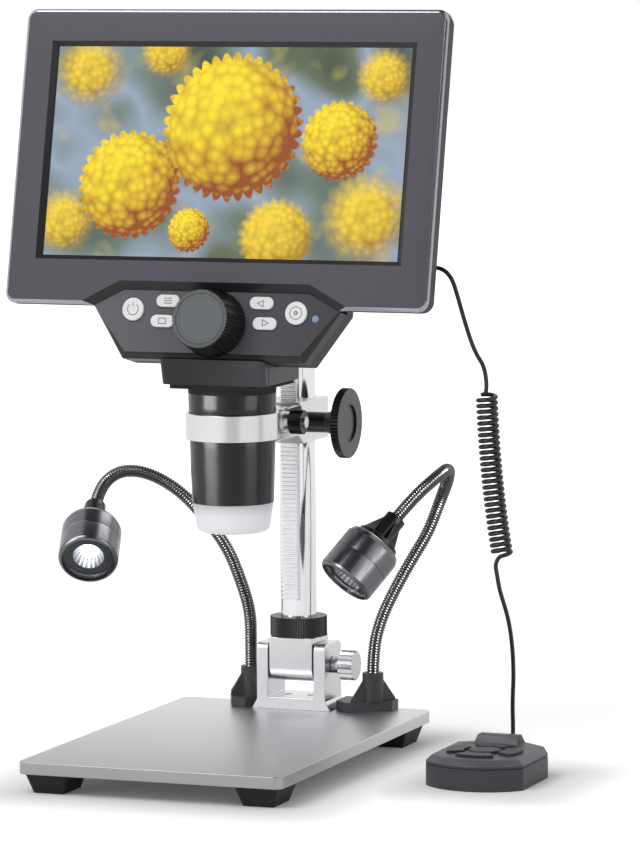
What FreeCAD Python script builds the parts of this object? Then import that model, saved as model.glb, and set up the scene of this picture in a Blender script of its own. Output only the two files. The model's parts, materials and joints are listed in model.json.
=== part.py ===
import FreeCAD, Part
import math
import os
from types import SimpleNamespace

import Sketcher

# A digital microscope with a seven inch display on a column stand, in millimetres.
# X is to the right, Y to the back and Z up. The origin is on the floor under the middle of the base plate.

SIZES = {
    # Base plate, feet and their screws
    "base_width": 112.0,
    "base_length": 172.0,
    "base_thick": 5.0,
    "base_corner": 4.0,
    "foot_tall": 8.0,
    "foot_width": 18.0,
    "foot_length": 22.0,
    "foot_taper": 2.6,
    "foot_inset": 2.5,
    "screw_radius": 1.5,
    "screw_length": 7.5,
    "screw_head_radius": 2.8,
    "screw_head_tall": 2.0,
    "foot_screw_seat": 4.0,
    "plate_screw_seat": 2.0,
    "plate_screw_spread": 5.0,
    "hole_gap": 0.05,
    "head_recess_gap": 0.3,
    # Bracket, pivot block and thumb screw
    "column_y": 77.0,
    "bracket_depth": 19.5,
    "bracket_top": 40.8,
    "bracket_half": 15.3,
    "bracket_inner": 10.2,
    "bracket_floor": 5.0,
    "bracket_flare": 2.3,
    "bracket_flare_tall": 4.0,
    "bracket_round": 3.0,
    "pivot_z": 31.5,
    "pivot_pin_radius": 2.45,
    "pin_gap": 0.1,
    "block_half": 9.6,
    "block_depth": 19.5,
    "block_top": 43.3,
    "block_under": 7.0,
    "block_round": 6.5,
    "thumb_boss_radius": 3.6,
    "thumb_boss_long": 3.8,
    "thumb_head_radius": 6.3,
    "thumb_head_thick": 6.3,
    "thumb_ridges": 16.0,
    "thumb_ridge_deep": 0.7,
    # Column, rack and collar
    "column_radius": 7.6,
    "column_top": 232.0,
    "column_chamfer": 1.0,
    "column_seat": 6.0,
    "rack_width": 6.8,
    "rack_front": 10.5,
    "rack_root": 6.2,
    "rack_bottom": 59.0,
    "rack_top": 226.0,
    "tooth_pitch": 1.8,
    "pinion_teeth": 12.0,
    "tooth_play": 0.3,
    "tooth_addendum": 0.7,
    "tooth_dedendum": 1.0,
    "pressure_angle": 20.0,
    "collar_radius": 11.9,
    "collar_tall": 8.3,
    "collar_lift": 0.1,
    "collar_ridges": 72.0,
    "ridge_deep": 0.35,
    "slide_gap": 0.1,
    # Carriage, clamp and height knob
    "carriage_half": 9.6,
    "arm_bottom": 130.0,
    "arm_top": 142.6,
    "sleeve_bottom": 126.0,
    "sleeve_top": 143.4,
    "sleeve_front": 55.0,
    "sleeve_behind": 11.5,
    "sleeve_lead": 1.0,
    "sleeve_slope": 5.0,
    "pinion_z": 134.8,
    "shaft_radius": 2.0,
    "shaft_cover": 1.0,
    "lens_y": 5.3,
    "ring_outer": 19.0,
    "ring_bottom": 133.6,
    "ring_tall": 10.8,
    "ear_half": 14.0,
    "ear_front": 19.0,
    "ear_back": 31.0,
    "arm_gap": 0.4,
    "clamp_y": 27.2,
    "clamp_z": 138.6,
    "clamp_shaft_radius": 2.3,
    "clamp_nut_radius": 4.9,
    "clamp_nut_thick": 5.6,
    "clamp_nut_from": 17.0,
    "clamp_nut_ridges": 32.0,
    "clamp_knob_radius": 4.2,
    "clamp_knob_from": 17.0,
    "clamp_knob_thick": 11.0,
    "clamp_knob_ridges": 28.0,
    "clamp_bolt_end": 1.0,
    "hub_radius": 4.25,
    "hub_long": 8.8,
    "hub_cone": 6.6,
    "hub_cone_radius": 6.4,
    "height_knob_radius": 14.5,
    "height_knob_thick": 3.4,
    "height_knob_dish": 7.8,
    "height_knob_dish_deep": 0.8,
    "height_knob_ridges": 64.0,
    "height_ridge_deep": 0.45,
    # Display head, in its own leaning frame
    "head_lean": 12.9,
    "head_y": -1.275,
    "head_z": 249.85,
    "view_width": 154.2,
    "view_tall": 85.9,
    "bezel_half": 91.4,
    "bezel_top": 58.2,
    "bezel_bottom": 63.0,
    "bezel_deep": 5.0,
    "bezel_corner": 4.5,
    "bezel_chamfer": 1.4,
    "bezel_bevel": 1.9,
    "bezel_wall": 2.0,
    "lcd_half_width": 82.2,
    "lcd_half_tall": 49.6,
    "lcd_thick": 3.4,
    "seat_gap": 0.05,
    "panel_sink": 3.2,
    "panel_thick": 1.7,
    "panel_top": 56.4,
    "panel_mid": 63.1,
    "panel_bottom": 81.4,
    "panel_top_half": 40.0,
    "panel_mid_half": 52.8,
    "panel_bottom_half": 38.0,
    "pod_half": 53.2,
    "pod_low_half": 39.4,
    "pod_top": 63.3,
    "pod_bottom": 84.0,
    "pod_front": 4.2,
    "lip_chamfer": 1.0,
    "skirt_back": 12.0,
    "seam_gap": 0.15,
    "cover_step": 0.6,
    "cover_edge": 9.0,
    "cover_back": 19.3,
    "cover_wall": 1.8,
    "hump_half": 80.0,
    "hump_top": 48.0,
    "hump_bottom": 60.0,
    "hump_taper": 3.0,
    "board_thick": 1.6,
    "board_w": 9.6,
    "board_half_width": 74.0,
    "board_half_tall": 32.0,
    "board_v": -4.0,
    "post_inset": 4.0,
    "chip_wide": 14.0,
    "chip_thick": 1.6,
    "chip_u": 8.0,
    "battery_width": 60.0,
    "battery_tall": 44.0,
    "battery_thick": 6.0,
    "post_radius": 2.6,
    "key_post_u": 30.0,
    "key_post_v": -75.0,
    "small_screw_radius": 1.0,
    "small_screw_length": 5.0,
    "small_head_radius": 1.9,
    "small_head_tall": 1.2,
    "plug_v": -43.0,
    "plug_w": -14.0,
    "card_v": -20.0,
    "card_w": -12.8,
    "card_wide": 11.0,
    "card_long": 15.0,
    "card_thick": 0.8,
    "card_out": 1.6,
    "cage_rim": 2.0,
    "cage_wall": 1.0,
    "key_board_w": 9.4,
    "key_board_half": 45.0,
    "key_board_top": 57.6,
    "key_board_bottom": 77.5,
    "key_board_low_half": 36.0,
    "key_board_drop": 2.0,
    # Buttons on the head
    "key_rise": 1.1,
    "key_round_radius": 4.65,
    "key_pill_width": 10.2,
    "key_pill_tall": 5.0,
    "key_flange": 0.8,
    "key_travel": 0.6,
    "key_gap": 0.15,
    "key_stem_radius": 1.5,
    "round_key_u": 35.2,
    "round_key_v": -64.3,
    "upper_key_u": 20.2,
    "upper_key_v": -60.6,
    "lower_key_u": 22.1,
    "lower_key_v": -68.8,
    "led_u": 43.4,
    "led_v": -66.4,
    "led_radius": 1.5,
    # Focus knob, shaft and pinion
    "focus_v_down": 69.5,
    "focus_front_radius": 11.9,
    "focus_back_radius": 13.8,
    "focus_long": 15.0,
    "focus_lift": 0.4,
    "focus_shaft_radius": 1.9,
    "focus_shaft_clear": 1.0,
    "focus_ridges": 60.0,
    "focus_ridge_deep": 0.5,
    "focus_rim": 1.6,
    "focus_dish": 0.5,
    "focus_bore": 12.0,
    "focus_teeth": 12.0,
    "focus_pitch": 1.4,
    "focus_pinion_from": 33.4,
    "focus_pinion_long": 3.8,
    # Neck, barrel and optics
    "neck_half": 22.5,
    "neck_front": -18.6,
    "neck_front_low": -15.8,
    "neck_split": -11.2,
    "neck_back": 24.0,
    "neck_bottom": 156.8,
    "neck_wall": 2.0,
    "neck_shoulder": 18.0,
    "neck_crown": 193.5,
    "neck_crown_fall": 1.0,
    "neck_back_top": 186.0,
    "neck_round": 3.0,
    "flange_half": 19.6,
    "flange_front": -13.2,
    "flange_back": 23.6,
    "flange_thick": 1.8,
    "barrel_top_radius": 18.0,
    "barrel_ring_radius": 17.4,
    "barrel_low_radius": 16.6,
    "barrel_bottom": 107.9,
    "barrel_wall": 1.8,
    "cap_radius": 16.4,
    "cap_low_radius": 15.0,
    "cap_bottom": 95.8,
    "cap_wall": 1.2,
    "cap_round": 2.6,
    "cap_hole": 9.5,
    "led_board_radius": 14.2,
    "led_board_thick": 1.2,
    "led_size": 1.6,
    "led_tall": 0.8,
    "led_count": 8.0,
    "tube_radius": 10.0,
    "tube_wall": 3.6,
    "tube_bottom": 114.5,
    "tube_top": 146.0,
    "lens_thick": 3.0,
    "sensor_half": 12.0,
    "sensor_deep": 9.5,
    "sensor_chip": 8.0,
    "sensor_chip_thick": 1.4,
    "ledge_bottom": 151.2,
    "ledge_top": 152.5,
    "ledge_radius": 14.4,
    "guide_low": 117.0,
    "guide_high": 130.0,
    "guide_high_top": 133.0,
    "guide_tall": 3.0,
    "led_board_z": 108.0,
    "bar_near": 10.3,
    "bar_far": 13.9,
    "bar_side": 6.0,
    "bar_top": 181.5,
    "bar_teeth_from": 160.0,
    "bar_teeth_reach": 20.0,
    "lug_tall": 6.5,
    # Gooseneck lamps
    "hose_radius": 2.65,
    "hose_valley": 2.3,
    "hose_bore": 1.4,
    "hose_ribs": 120.0,
    "hose_seat": 5.0,
    "socket_radius": 4.4,
    "socket_tall": 12.0,
    "socket_gap": 0.1,
    "fin_thick": 1.6,
    "fin_reach": 10.0,
    "fin_tall": 9.0,
    "fin_edge": 0.8,
    "fin_angle": 45.0,
    "clip_thick": 4.0,
    "left_clip_x": -22.4,
    "left_clip_y": 79.0,
    "right_clip_x": 33.1,
    "right_clip_y": 77.0,
    "lamp_radius": 12.3,
    "lamp_long": 21.5,
    "lamp_round": 3.0,
    "lamp_seam": 10.8,
    "lamp_seam_half": 0.2,
    "lamp_seam_deep": 0.3,
    "lamp_wall": 1.6,
    "lamp_lens_thick": 2.0,
    "lamp_lip": 1.4,
    "lamp_flange": 1.5,
    # Remote control and its curly cord
    "remote_x": 109.7,
    "remote_y": 0.0,
    "remote_split": 8.8,
    "remote_top": 12.4,
    "remote_wall": 1.6,
    "remote_half": 20.5,
    "remote_back_half": 9.5,
    "remote_back": 25.0,
    "remote_shoulder": 17.0,
    "remote_side": 14.0,
    "remote_front_half": 9.0,
    "remote_front": 21.9,
    "remote_tip": 35.5,
    "remote_arc_share": 0.93,
    "remote_round": 3.0,
    "remote_exit": -1.2,
    "remote_pad": 6.6,
    "remote_pad_half": 15.0,
    "remote_pad_front": 16.0,
    "remote_pad_back": 20.0,
    "remote_pad_thick": 1.2,
    "remote_post_side": 13.0,
    "remote_post_front": 14.0,
    "remote_post_back": 17.0,
    "nozzle_z": 6.0,
    "nozzle_long": 2.6,
    "hump_wide": 17.0,
    "hump_deep": 7.0,
    "hump_tall": 3.6,
    "hump_slope": 2.0,
    "remote_key_y": -1.0,
    "remote_disc_radius": 6.2,
    "remote_key_inner": 8.4,
    "remote_key_outer": 15.0,
    "remote_key_span": 64.0,
    "remote_chamfer": 2.4,
    "remote_key_rise": 1.0,
    "remote_key_gap": 0.2,
    "cord_radius": 0.875,
    "coil_radius": 3.6,
    "coil_turns": 28.0,
    "plug_radius": 3.4,
    "plug_long": 5.6,
    "plug_neck": 2.2,
    "plug_relief": 2.6,
}


class Size(float):
    """A number that remembers the sheet expression it comes from."""

    def __new__(cls, number, text=None):
        size = super().__new__(cls, number)
        size.text = text if text else "(%r)" % float(number)
        return size

    def joined(self, sign, other, number, swapped=False):
        first, second = self.text, getattr(other, "text", "(%r)" % float(other))
        if swapped:
            first, second = second, first
        return Size(number, "(%s %s %s)" % (first, sign, second))

    def __add__(self, other):
        return self.joined("+", other, float(self) + float(other))

    def __radd__(self, other):
        return self.joined("+", other, float(other) + float(self), True)

    def __sub__(self, other):
        return self.joined("-", other, float(self) - float(other))

    def __rsub__(self, other):
        return self.joined("-", other, float(other) - float(self), True)

    def __mul__(self, other):
        return self.joined("*", other, float(self) * float(other))

    def __rmul__(self, other):
        return self.joined("*", other, float(other) * float(self), True)

    def __truediv__(self, other):
        return self.joined("/", other, float(self) / float(other))

    def __rtruediv__(self, other):
        return self.joined("/", other, float(other) / float(self), True)

    def __neg__(self):
        return Size(-float(self), "(-%s)" % self.text)


def sine(angle):
    """The sine of an angle in degrees."""
    return Size(math.sin(math.radians(angle)), "sin(%s)" % angle.text)


def cosine(angle):
    """The cosine of an angle in degrees."""
    return Size(math.cos(math.radians(angle)), "cos(%s)" % angle.text)


def root(number):
    """The square root of a size."""
    return Size(math.sqrt(number), "sqrt(%s)" % number.text)


document = FreeCAD.newDocument("lcd_microscope")
sheet = document.addObject("Spreadsheet::Sheet", "sizes")
for row, (alias, number) in enumerate(SIZES.items(), start=1):
    sheet.set("A%d" % row, alias)
    sheet.set("B%d" % row, str(number))
    sheet.setAlias("B%d" % row, alias)
document.recompute()
s = SimpleNamespace(**{alias: Size(sheet.get(alias), "sizes." + alias) for alias in SIZES})

X_AXIS = FreeCAD.Vector(1, 0, 0)
Y_AXIS = FreeCAD.Vector(0, 1, 0)
Z_AXIS = FreeCAD.Vector(0, 0, 1)
subparts = []


# Helpers that build and bind features

def bind(item, name, size):
    """Give a property of an object its size, tied to the sheet where the size comes from it."""
    if isinstance(size, Size):
        item.setExpression(name, size.text)
    else:
        setattr(item, name, size)


def place(item, at, rotation=None):
    """Set an object down at a point whose coordinates may come from the sheet."""
    item.Placement = FreeCAD.Placement(FreeCAD.Vector(*[float(c) for c in at]), rotation or FreeCAD.Rotation())
    for letter, size in zip("xyz", at):
        if isinstance(size, Size):
            item.setExpression("Placement.Base." + letter, size.text)
    return item


def toward(direction):
    """The turn that carries +Z to a direction."""
    return FreeCAD.Rotation(Z_AXIS, FreeCAD.Vector(*direction))


def block(name, size, at, rotation=None):
    """A block from its three lengths and its lowest corner."""
    item = document.addObject("Part::Box", name)
    for path, length in zip(("Length", "Width", "Height"), size):
        bind(item, path, length)
    return place(item, at, rotation)


def rod(name, radius, length, at, rotation=None):
    """A round bar that starts at a point and runs along its own Z."""
    item = document.addObject("Part::Cylinder", name)
    bind(item, "Radius", radius)
    bind(item, "Height", length)
    return place(item, at, rotation)


def frustum(name, low, high, tall, at):
    """A block with sloping sides: its width and length below and above, centred on a point."""
    item = document.addObject("Part::Wedge", name)
    bind(item, "Xmin", -low[0] / 2)
    bind(item, "Xmax", low[0] / 2)
    bind(item, "Zmin", -low[1] / 2)
    bind(item, "Zmax", low[1] / 2)
    bind(item, "X2min", -high[0] / 2)
    bind(item, "X2max", high[0] / 2)
    bind(item, "Z2min", -high[1] / 2)
    bind(item, "Z2max", high[1] / 2)
    bind(item, "Ymax", tall)
    return place(item, at, FreeCAD.Rotation(X_AXIS, 90))


def union(name, *items):
    """Several solids as one."""
    if len(items) == 1:
        return items[0]
    item = document.addObject("Part::MultiFuse", name)
    item.Shapes = list(items)
    item.Refine = True
    return item


def minus(name, base, *tools):
    """A solid with other solids cut out of it."""
    item = document.addObject("Part::Cut", name)
    item.Base = base
    item.Tool = union(name + "_tools", *tools)
    return item


def group(name, *items):
    """Separate solids that are kept together in one file."""
    item = document.addObject("Part::Compound", name)
    item.Links = list(items)
    return item


def solid(name, shape):
    """A shape that is worked out from the sheet's sizes."""
    item = document.addObject("Part::Feature", name)
    item.Shape = shape
    return item


def keep(label, item):
    """Name a finished sub-part, which gives its file its name."""
    item.Label = label
    subparts.append(item)
    return item


def origin_plane(body, role):
    """One of a body's own three planes."""
    return [plane for plane in body.Origin.OriginFeatures if plane.Role == role][0]


def sketch_on(body, role, offset=0.0):
    """An empty sketch on a plane of its body."""
    sketch = body.newObject("Sketcher::SketchObject", body.Name + "_sketch")
    sketch.AttachmentSupport = (origin_plane(body, role), [""])
    sketch.MapMode = "FlatFace"
    if isinstance(offset, Size):
        sketch.setExpression("AttachmentOffset.Base.z", offset.text)
    elif offset:
        sketch.AttachmentOffset = FreeCAD.Placement(FreeCAD.Vector(0, 0, offset), FreeCAD.Rotation())
    return sketch


def fix_point(sketch, index, position, x, y):
    """Hold one point of a sketch at sheet coordinates."""
    for kind, size in (("DistanceX", x), ("DistanceY", y)):
        number = sketch.addConstraint(Sketcher.Constraint(kind, -1, 1, index, position, float(size)))
        if isinstance(size, Size):
            sketch.setExpression("Constraints[%d]" % number, size.text)


def outline(sketch, corners):
    """A closed outline of straight lines."""
    count = len(corners)
    for index, (x, y) in enumerate(corners):
        next_x, next_y = corners[(index + 1) % count]
        start, end = FreeCAD.Vector(x, y, 0), FreeCAD.Vector(next_x, next_y, 0)
        sketch.addGeometry(Part.LineSegment(start, end), False)
    for index, (x, y) in enumerate(corners):
        sketch.addConstraint(Sketcher.Constraint("Coincident", index, 2, (index + 1) % count, 1))
        fix_point(sketch, index, 1, x, y)


def circles(sketch, centres, radius):
    """Equal circles at given centres."""
    for index, (x, y) in enumerate(centres):
        sketch.addGeometry(Part.Circle(FreeCAD.Vector(x, y, 0), Z_AXIS, float(radius)), False)
        number = sketch.addConstraint(Sketcher.Constraint("Radius", index, float(radius)))
        if isinstance(radius, Size):
            sketch.setExpression("Constraints[%d]" % number, radius.text)
        fix_point(sketch, index, 3, x, y)


def pushed_out(body, role, corners, length, offset=0.0, both_ways=False):
    """An outline pushed out of its plane, or half each way, added to a body."""
    sketch = sketch_on(body, role, offset)
    outline(sketch, corners)
    pad = body.newObject("PartDesign::Pad", body.Name + "_pad")
    pad.Profile = sketch
    pad.Midplane = both_ways
    bind(pad, "Length", length)
    return body


def padded(name, role, corners, length, offset=0.0, both_ways=False):
    """A new body that is an outline pushed out of its plane."""
    return pushed_out(document.addObject("PartDesign::Body", name), role, corners, length, offset, both_ways)


def hollowed(body, corners, depth, offset):
    """An outline cut into a body, from a height downwards."""
    sketch = sketch_on(body, "XY_Plane", offset)
    outline(sketch, corners)
    pocket = body.newObject("PartDesign::Pocket", body.Name + "_pocket")
    pocket.Profile = sketch
    bind(pocket, "Length", depth)
    return body


def turned(name, profile, at=(0, 0, 0), rotation=None):
    """A body turned about its own Z from an outline of radius and height."""
    body = document.addObject("PartDesign::Body", name)
    sketch = sketch_on(body, "XZ_Plane")
    outline(sketch, profile)
    turn = body.newObject("PartDesign::Revolution", name + "_turn")
    turn.Profile = sketch
    turn.ReferenceAxis = (sketch, ["V_Axis"])
    turn.Angle = 360
    place(body, at, rotation)
    return body


def drilled(body, centres, radius, length, offset):
    """Equal round holes, from a height downwards."""
    sketch = sketch_on(body, "XY_Plane", offset)
    circles(sketch, centres, radius)
    pocket = body.newObject("PartDesign::Pocket", body.Name + "_holes")
    pocket.Profile = sketch
    bind(pocket, "Length", length)
    return pocket


def is_line_along(edge, axis):
    """Whether an edge is straight and parallel to an axis."""
    if len(edge.Vertexes) != 2 or not isinstance(edge.Curve, Part.Line):
        return False
    return edge.Vertexes[1].Point.sub(edge.Vertexes[0].Point).normalize().cross(axis).Length < 1e-6


def dressed(body, kind, radius, chosen):
    """Round or chamfer the edges of a body that pass a test."""
    document.recompute()
    tip = body.Tip
    names = ["Edge%d" % (i + 1) for i, edge in enumerate(tip.Shape.Edges) if chosen(edge)]
    dress = body.newObject("PartDesign::" + kind, "%s_%s" % (body.Name, kind.lower()))
    dress.Base = (tip, names)
    bind(dress, "Radius" if kind == "Fillet" else "Size", radius)
    return dress


def polygon(points):
    """A closed wire through points."""
    return Part.makePolygon([FreeCAD.Vector(*p) for p in points] + [FreeCAD.Vector(*points[0])])


def slab(corners, low, high, high_corners=None):
    """A solid between one outline at a low height and the same or another at a high one."""
    wires = [polygon([(x, y, low) for x, y in corners])]
    wires.append(polygon([(x, y, high) for x, y in (high_corners or corners)]))
    return Part.makeLoft(wires, True, True)


def pill(width, tall, low, high, u=0.0, v=0.0):
    """A key with round ends, between two heights."""
    radius, half = tall / 2, (width - tall) / 2
    shape = Part.makeCylinder(radius, high - low, FreeCAD.Vector(u - half, v, low))
    if half > 0:
        end = Part.makeCylinder(radius, high - low, FreeCAD.Vector(u + half, v, low))
        middle = Part.makeBox(2 * half, tall, high - low, FreeCAD.Vector(u - half, v - radius, low))
        shape = shape.fuse([end, middle]).removeSplitter()
    return shape


def ridged(radius, depth, count, low, high, high_radius=None):
    """A knurled disc or cone: vee ridges round its edge."""
    wires = []
    for level, crest in ((low, radius), (high, high_radius or radius)):
        points = []
        for index in range(2 * int(count)):
            angle = math.pi * index / int(count)
            reach = crest if index % 2 == 0 else crest - depth
            points.append((reach * math.cos(angle), reach * math.sin(angle), level))
        wires.append(polygon(points))
    return Part.makeLoft(wires, True, True)


def gear(pitch, teeth, play, low, high):
    """A pinion whose teeth have involute flanks. One tooth points along +X."""
    module = pitch / math.pi
    pitch_radius = module * teeth / 2
    pressure_at_pitch = math.radians(s.pressure_angle)
    base_radius = pitch_radius * math.cos(pressure_at_pitch)
    foot, tip = pitch_radius - s.tooth_dedendum * module, pitch_radius + s.tooth_addendum * module
    pitch_roll = math.tan(pressure_at_pitch) - pressure_at_pitch
    half_at_pitch = (pitch - play) / 4 / pitch_radius
    flank = []
    flank_start, flank_steps = max(base_radius, foot), 3
    for step in range(flank_steps + 1):
        radius = flank_start + (tip - flank_start) * step / flank_steps
        pressure = math.acos(min(1.0, base_radius / radius))
        flank.append((radius, half_at_pitch + pitch_roll - (math.tan(pressure) - pressure)))
    points = []
    for tooth in range(int(teeth)):
        centre = 2 * math.pi * tooth / teeth
        side = [(foot, flank[0][1] * 1.1)] + flank
        for radius, half in side:
            points.append((radius, centre - half))
        for radius, half in reversed(side):
            points.append((radius, centre + half))
    wire = polygon([(r * math.cos(a), r * math.sin(a), low) for r, a in points])
    return Part.Face(wire).extrude(FreeCAD.Vector(0, 0, high - low))


def rack_outline(pitch, play, low, high, gap_at, face, back):
    """Points of a toothed bar along Y whose teeth point to +X and have a gap centred at one place."""
    module = pitch / math.pi
    tip, foot = s.tooth_addendum * module, -s.tooth_dedendum * module
    tangent = math.tan(math.radians(s.pressure_angle))
    half = (pitch - play) / 4
    first = int((gap_at - low) / pitch)
    count = first + int((high - gap_at) / pitch)
    points = [(back, low), (face + foot, low)]
    for index in range(count):
        centre = gap_at + (index - first + 0.5) * pitch
        points.append((face + foot, centre - half + foot * tangent))
        points.append((face + tip, centre - half + tip * tangent))
        points.append((face + tip, centre + half - tip * tangent))
        points.append((face + foot, centre + half - foot * tangent))
    return points + [(face + foot, high), (back, high)]


def in_head(item):
    """Stand a piece up in the leaning frame of the display head."""
    place(item, (0, s.head_y, s.head_z), FreeCAD.Rotation(X_AXIS, 90 - s.head_lean))
    item.setExpression("Placement.Rotation.Angle", (90 - s.head_lean).text)


def head_y(v, w):
    """The row's Y of a point in the leaning frame."""
    return s.head_y + v * sine(s.head_lean) - w * cosine(s.head_lean)


def head_z(v, w):
    """The row's Z of a point in the leaning frame."""
    return s.head_z + v * cosine(s.head_lean) + w * sine(s.head_lean)


# Places that several pieces share

PLATE_BOTTOM = s.foot_tall
PLATE_TOP = s.foot_tall + s.base_thick
RACK_MODULE = s.tooth_pitch / math.pi
RACK_FACE = s.rack_front - RACK_MODULE * s.tooth_addendum
PINION_Y = s.column_y - RACK_FACE - RACK_MODULE * s.pinion_teeth / 2 - s.hole_gap
CARRIAGE_FRONT = s.lens_y + s.barrel_ring_radius + s.arm_gap
RING_TOP = s.ring_bottom + s.ring_tall
FOCUS_RADIUS = s.focus_pitch * s.focus_teeth / (2 * math.pi)
SOCKET_TOP = PLATE_TOP + s.clip_thick + s.socket_tall
ALONG_X = FreeCAD.Rotation(Y_AXIS, 90)
Z_TO_X_TO_Y = FreeCAD.Rotation(FreeCAD.Vector(1, 1, 1), 120)


def mirrored(corners):
    """An outline whose right half is given, from one end of the mirror line to the other."""
    return corners + [(-x, y) for x, y in reversed(corners)]


def screw(name, seat, head_radius, head_tall, shank_radius, shank_length):
    """A screw that points up, with a cross in its head, from the place of its seat."""
    x, y, z = seat
    bottom = z - head_tall
    head = rod(name + "_head", head_radius, head_tall, (x, y, bottom))
    shank = rod(name + "_shank", shank_radius, shank_length, (x, y, z))
    arm, slot = head_radius * 0.6, head_radius * 0.14
    across = block(name + "_slot", (arm * 2, slot * 2, head_tall / 2), (x - arm, y - slot, bottom))
    along = block(name + "_slot2", (slot * 2, arm * 2, head_tall / 2), (x - slot, y - arm, bottom))
    return minus(name, union(name + "_blank", head, shank), across, along)


def base_pieces():
    """The base plate on its rubber feet, with the screws of the feet and the bracket."""
    half_width, half_length = s.base_width / 2, s.base_length / 2
    corners = [(-half_width, -half_length), (half_width, -half_length)]
    corners += [(half_width, half_length), (-half_width, half_length)]
    plate = padded("plate", "XY_Plane", corners, s.base_thick, PLATE_BOTTOM)
    dressed(plate, "Fillet", s.base_corner, lambda edge: is_line_along(edge, Z_AXIS))
    foot_x = half_width - s.foot_inset - s.foot_width / 2
    foot_y = half_length - s.foot_inset - s.foot_length / 2
    foot_places = [(side * foot_x, end * foot_y) for side in (-1, 1) for end in (-1, 1)]
    bracket_places = [(side * s.plate_screw_spread, s.column_y) for side in (-1, 1)]
    foot_reach = s.foot_screw_seat + s.screw_length + s.head_recess_gap
    drilled(plate, foot_places, s.screw_radius + s.hole_gap, foot_reach - PLATE_BOTTOM, foot_reach)
    drilled(plate, bracket_places, s.screw_radius + s.hole_gap, s.base_thick, PLATE_TOP)
    recess = s.screw_head_radius + s.head_recess_gap
    drilled(plate, bracket_places, recess, s.plate_screw_seat, PLATE_BOTTOM + s.plate_screw_seat)
    keep("base_plate", plate)

    feet, screws = [], []
    low = (s.foot_width - s.foot_taper * 2, s.foot_length - s.foot_taper * 2)
    for number, (x, y) in enumerate(foot_places, start=1):
        name = "foot%d" % number
        foot = frustum(name, low, (s.foot_width, s.foot_length), s.foot_tall, (x, y, 0))
        sunk = rod(name + "_recess", recess, s.foot_screw_seat, (x, y, 0))
        bore = rod(name + "_bore", s.screw_radius + s.hole_gap, s.foot_tall, (x, y, 0))
        feet.append(minus(name + "_bored", foot, sunk, bore))
    keep("rubber_feet", group("feet", *feet))
    seats = [(x, y, s.foot_screw_seat) for x, y in foot_places]
    seats += [(x, y, PLATE_BOTTOM + s.plate_screw_seat) for x, y in bracket_places]
    for number, seat in enumerate(seats, start=1):
        sizes = (s.screw_head_radius, s.screw_head_tall, s.screw_radius, s.screw_length)
        screws.append(screw("base_screw%d" % number, seat, *sizes))
    keep("base_screws", group("base_screw_set", *screws))


def bracket_pieces():
    """The U bracket, the tilting block in it and the thumb screw that pins them."""
    floor_top = PLATE_TOP + s.bracket_floor
    flare = s.bracket_half + s.bracket_flare
    right = [(flare, PLATE_TOP), (s.bracket_half, PLATE_TOP + s.bracket_flare_tall)]
    right += [(s.bracket_half, s.bracket_top), (s.bracket_inner, s.bracket_top), (s.bracket_inner, floor_top)]
    bracket = padded("bracket", "XZ_Plane", mirrored(right), s.bracket_depth, -s.column_y, True)
    dressed(bracket, "Fillet", s.bracket_round, lambda edge: is_line_along(edge, X_AXIS)
            and edge.BoundBox.ZMin > s.bracket_top - s.hole_gap)
    pin_bore = s.pivot_pin_radius + s.pin_gap
    bore_start = (-flare, s.column_y, s.pivot_z)
    cutters = [rod("bracket_pin_bore", pin_bore, flare * 2, bore_start, ALONG_X)]
    for side in (-1, 1):
        place_of_hole = (side * s.plate_screw_spread, s.column_y, PLATE_TOP)
        cutters.append(rod("bracket_hole", s.screw_radius + s.hole_gap, s.bracket_floor, place_of_hole))
    keep("column_bracket", minus("bored_bracket", bracket, *cutters))

    front, back = s.column_y - s.block_depth / 2, s.column_y + s.block_depth / 2
    bottom = s.pivot_z - s.block_under
    corners = [(front, bottom), (back, bottom), (back, s.block_top), (front, s.block_top)]
    pivot = padded("pivot", "YZ_Plane", corners, s.block_half * 2, 0.0, True)
    dressed(pivot, "Fillet", s.block_round, lambda edge: is_line_along(edge, X_AXIS)
            and edge.BoundBox.ZMax < s.pivot_z)
    pin = rod("block_pin_bore", pin_bore, s.block_half * 2, (-s.block_half, s.column_y, s.pivot_z), ALONG_X)
    seat = rod("block_seat", s.column_radius + s.hole_gap, s.column_seat,
               (0, s.column_y, s.block_top - s.column_seat))
    keep("pivot_block", minus("bored_pivot", pivot, pin, seat))

    pin_start = -s.bracket_half + s.column_seat / 4
    pin_long = s.bracket_half - pin_start
    boss_start = pin_long + s.head_recess_gap
    head_start = boss_start + s.thumb_boss_long
    head_end = head_start + s.thumb_head_thick
    head = ridged(s.thumb_head_radius, s.thumb_ridge_deep, s.thumb_ridges, head_start, head_end)
    screw_pin = Part.makeCylinder(s.pivot_pin_radius, head_start)
    boss = Part.makeCylinder(s.thumb_boss_radius, s.thumb_boss_long, FreeCAD.Vector(0, 0, boss_start))
    thumb = solid("thumb", screw_pin.fuse([boss, head]).removeSplitter())
    keep("tilt_thumb_screw", place(thumb, (pin_start, s.column_y, s.pivot_z), ALONG_X))


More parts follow.
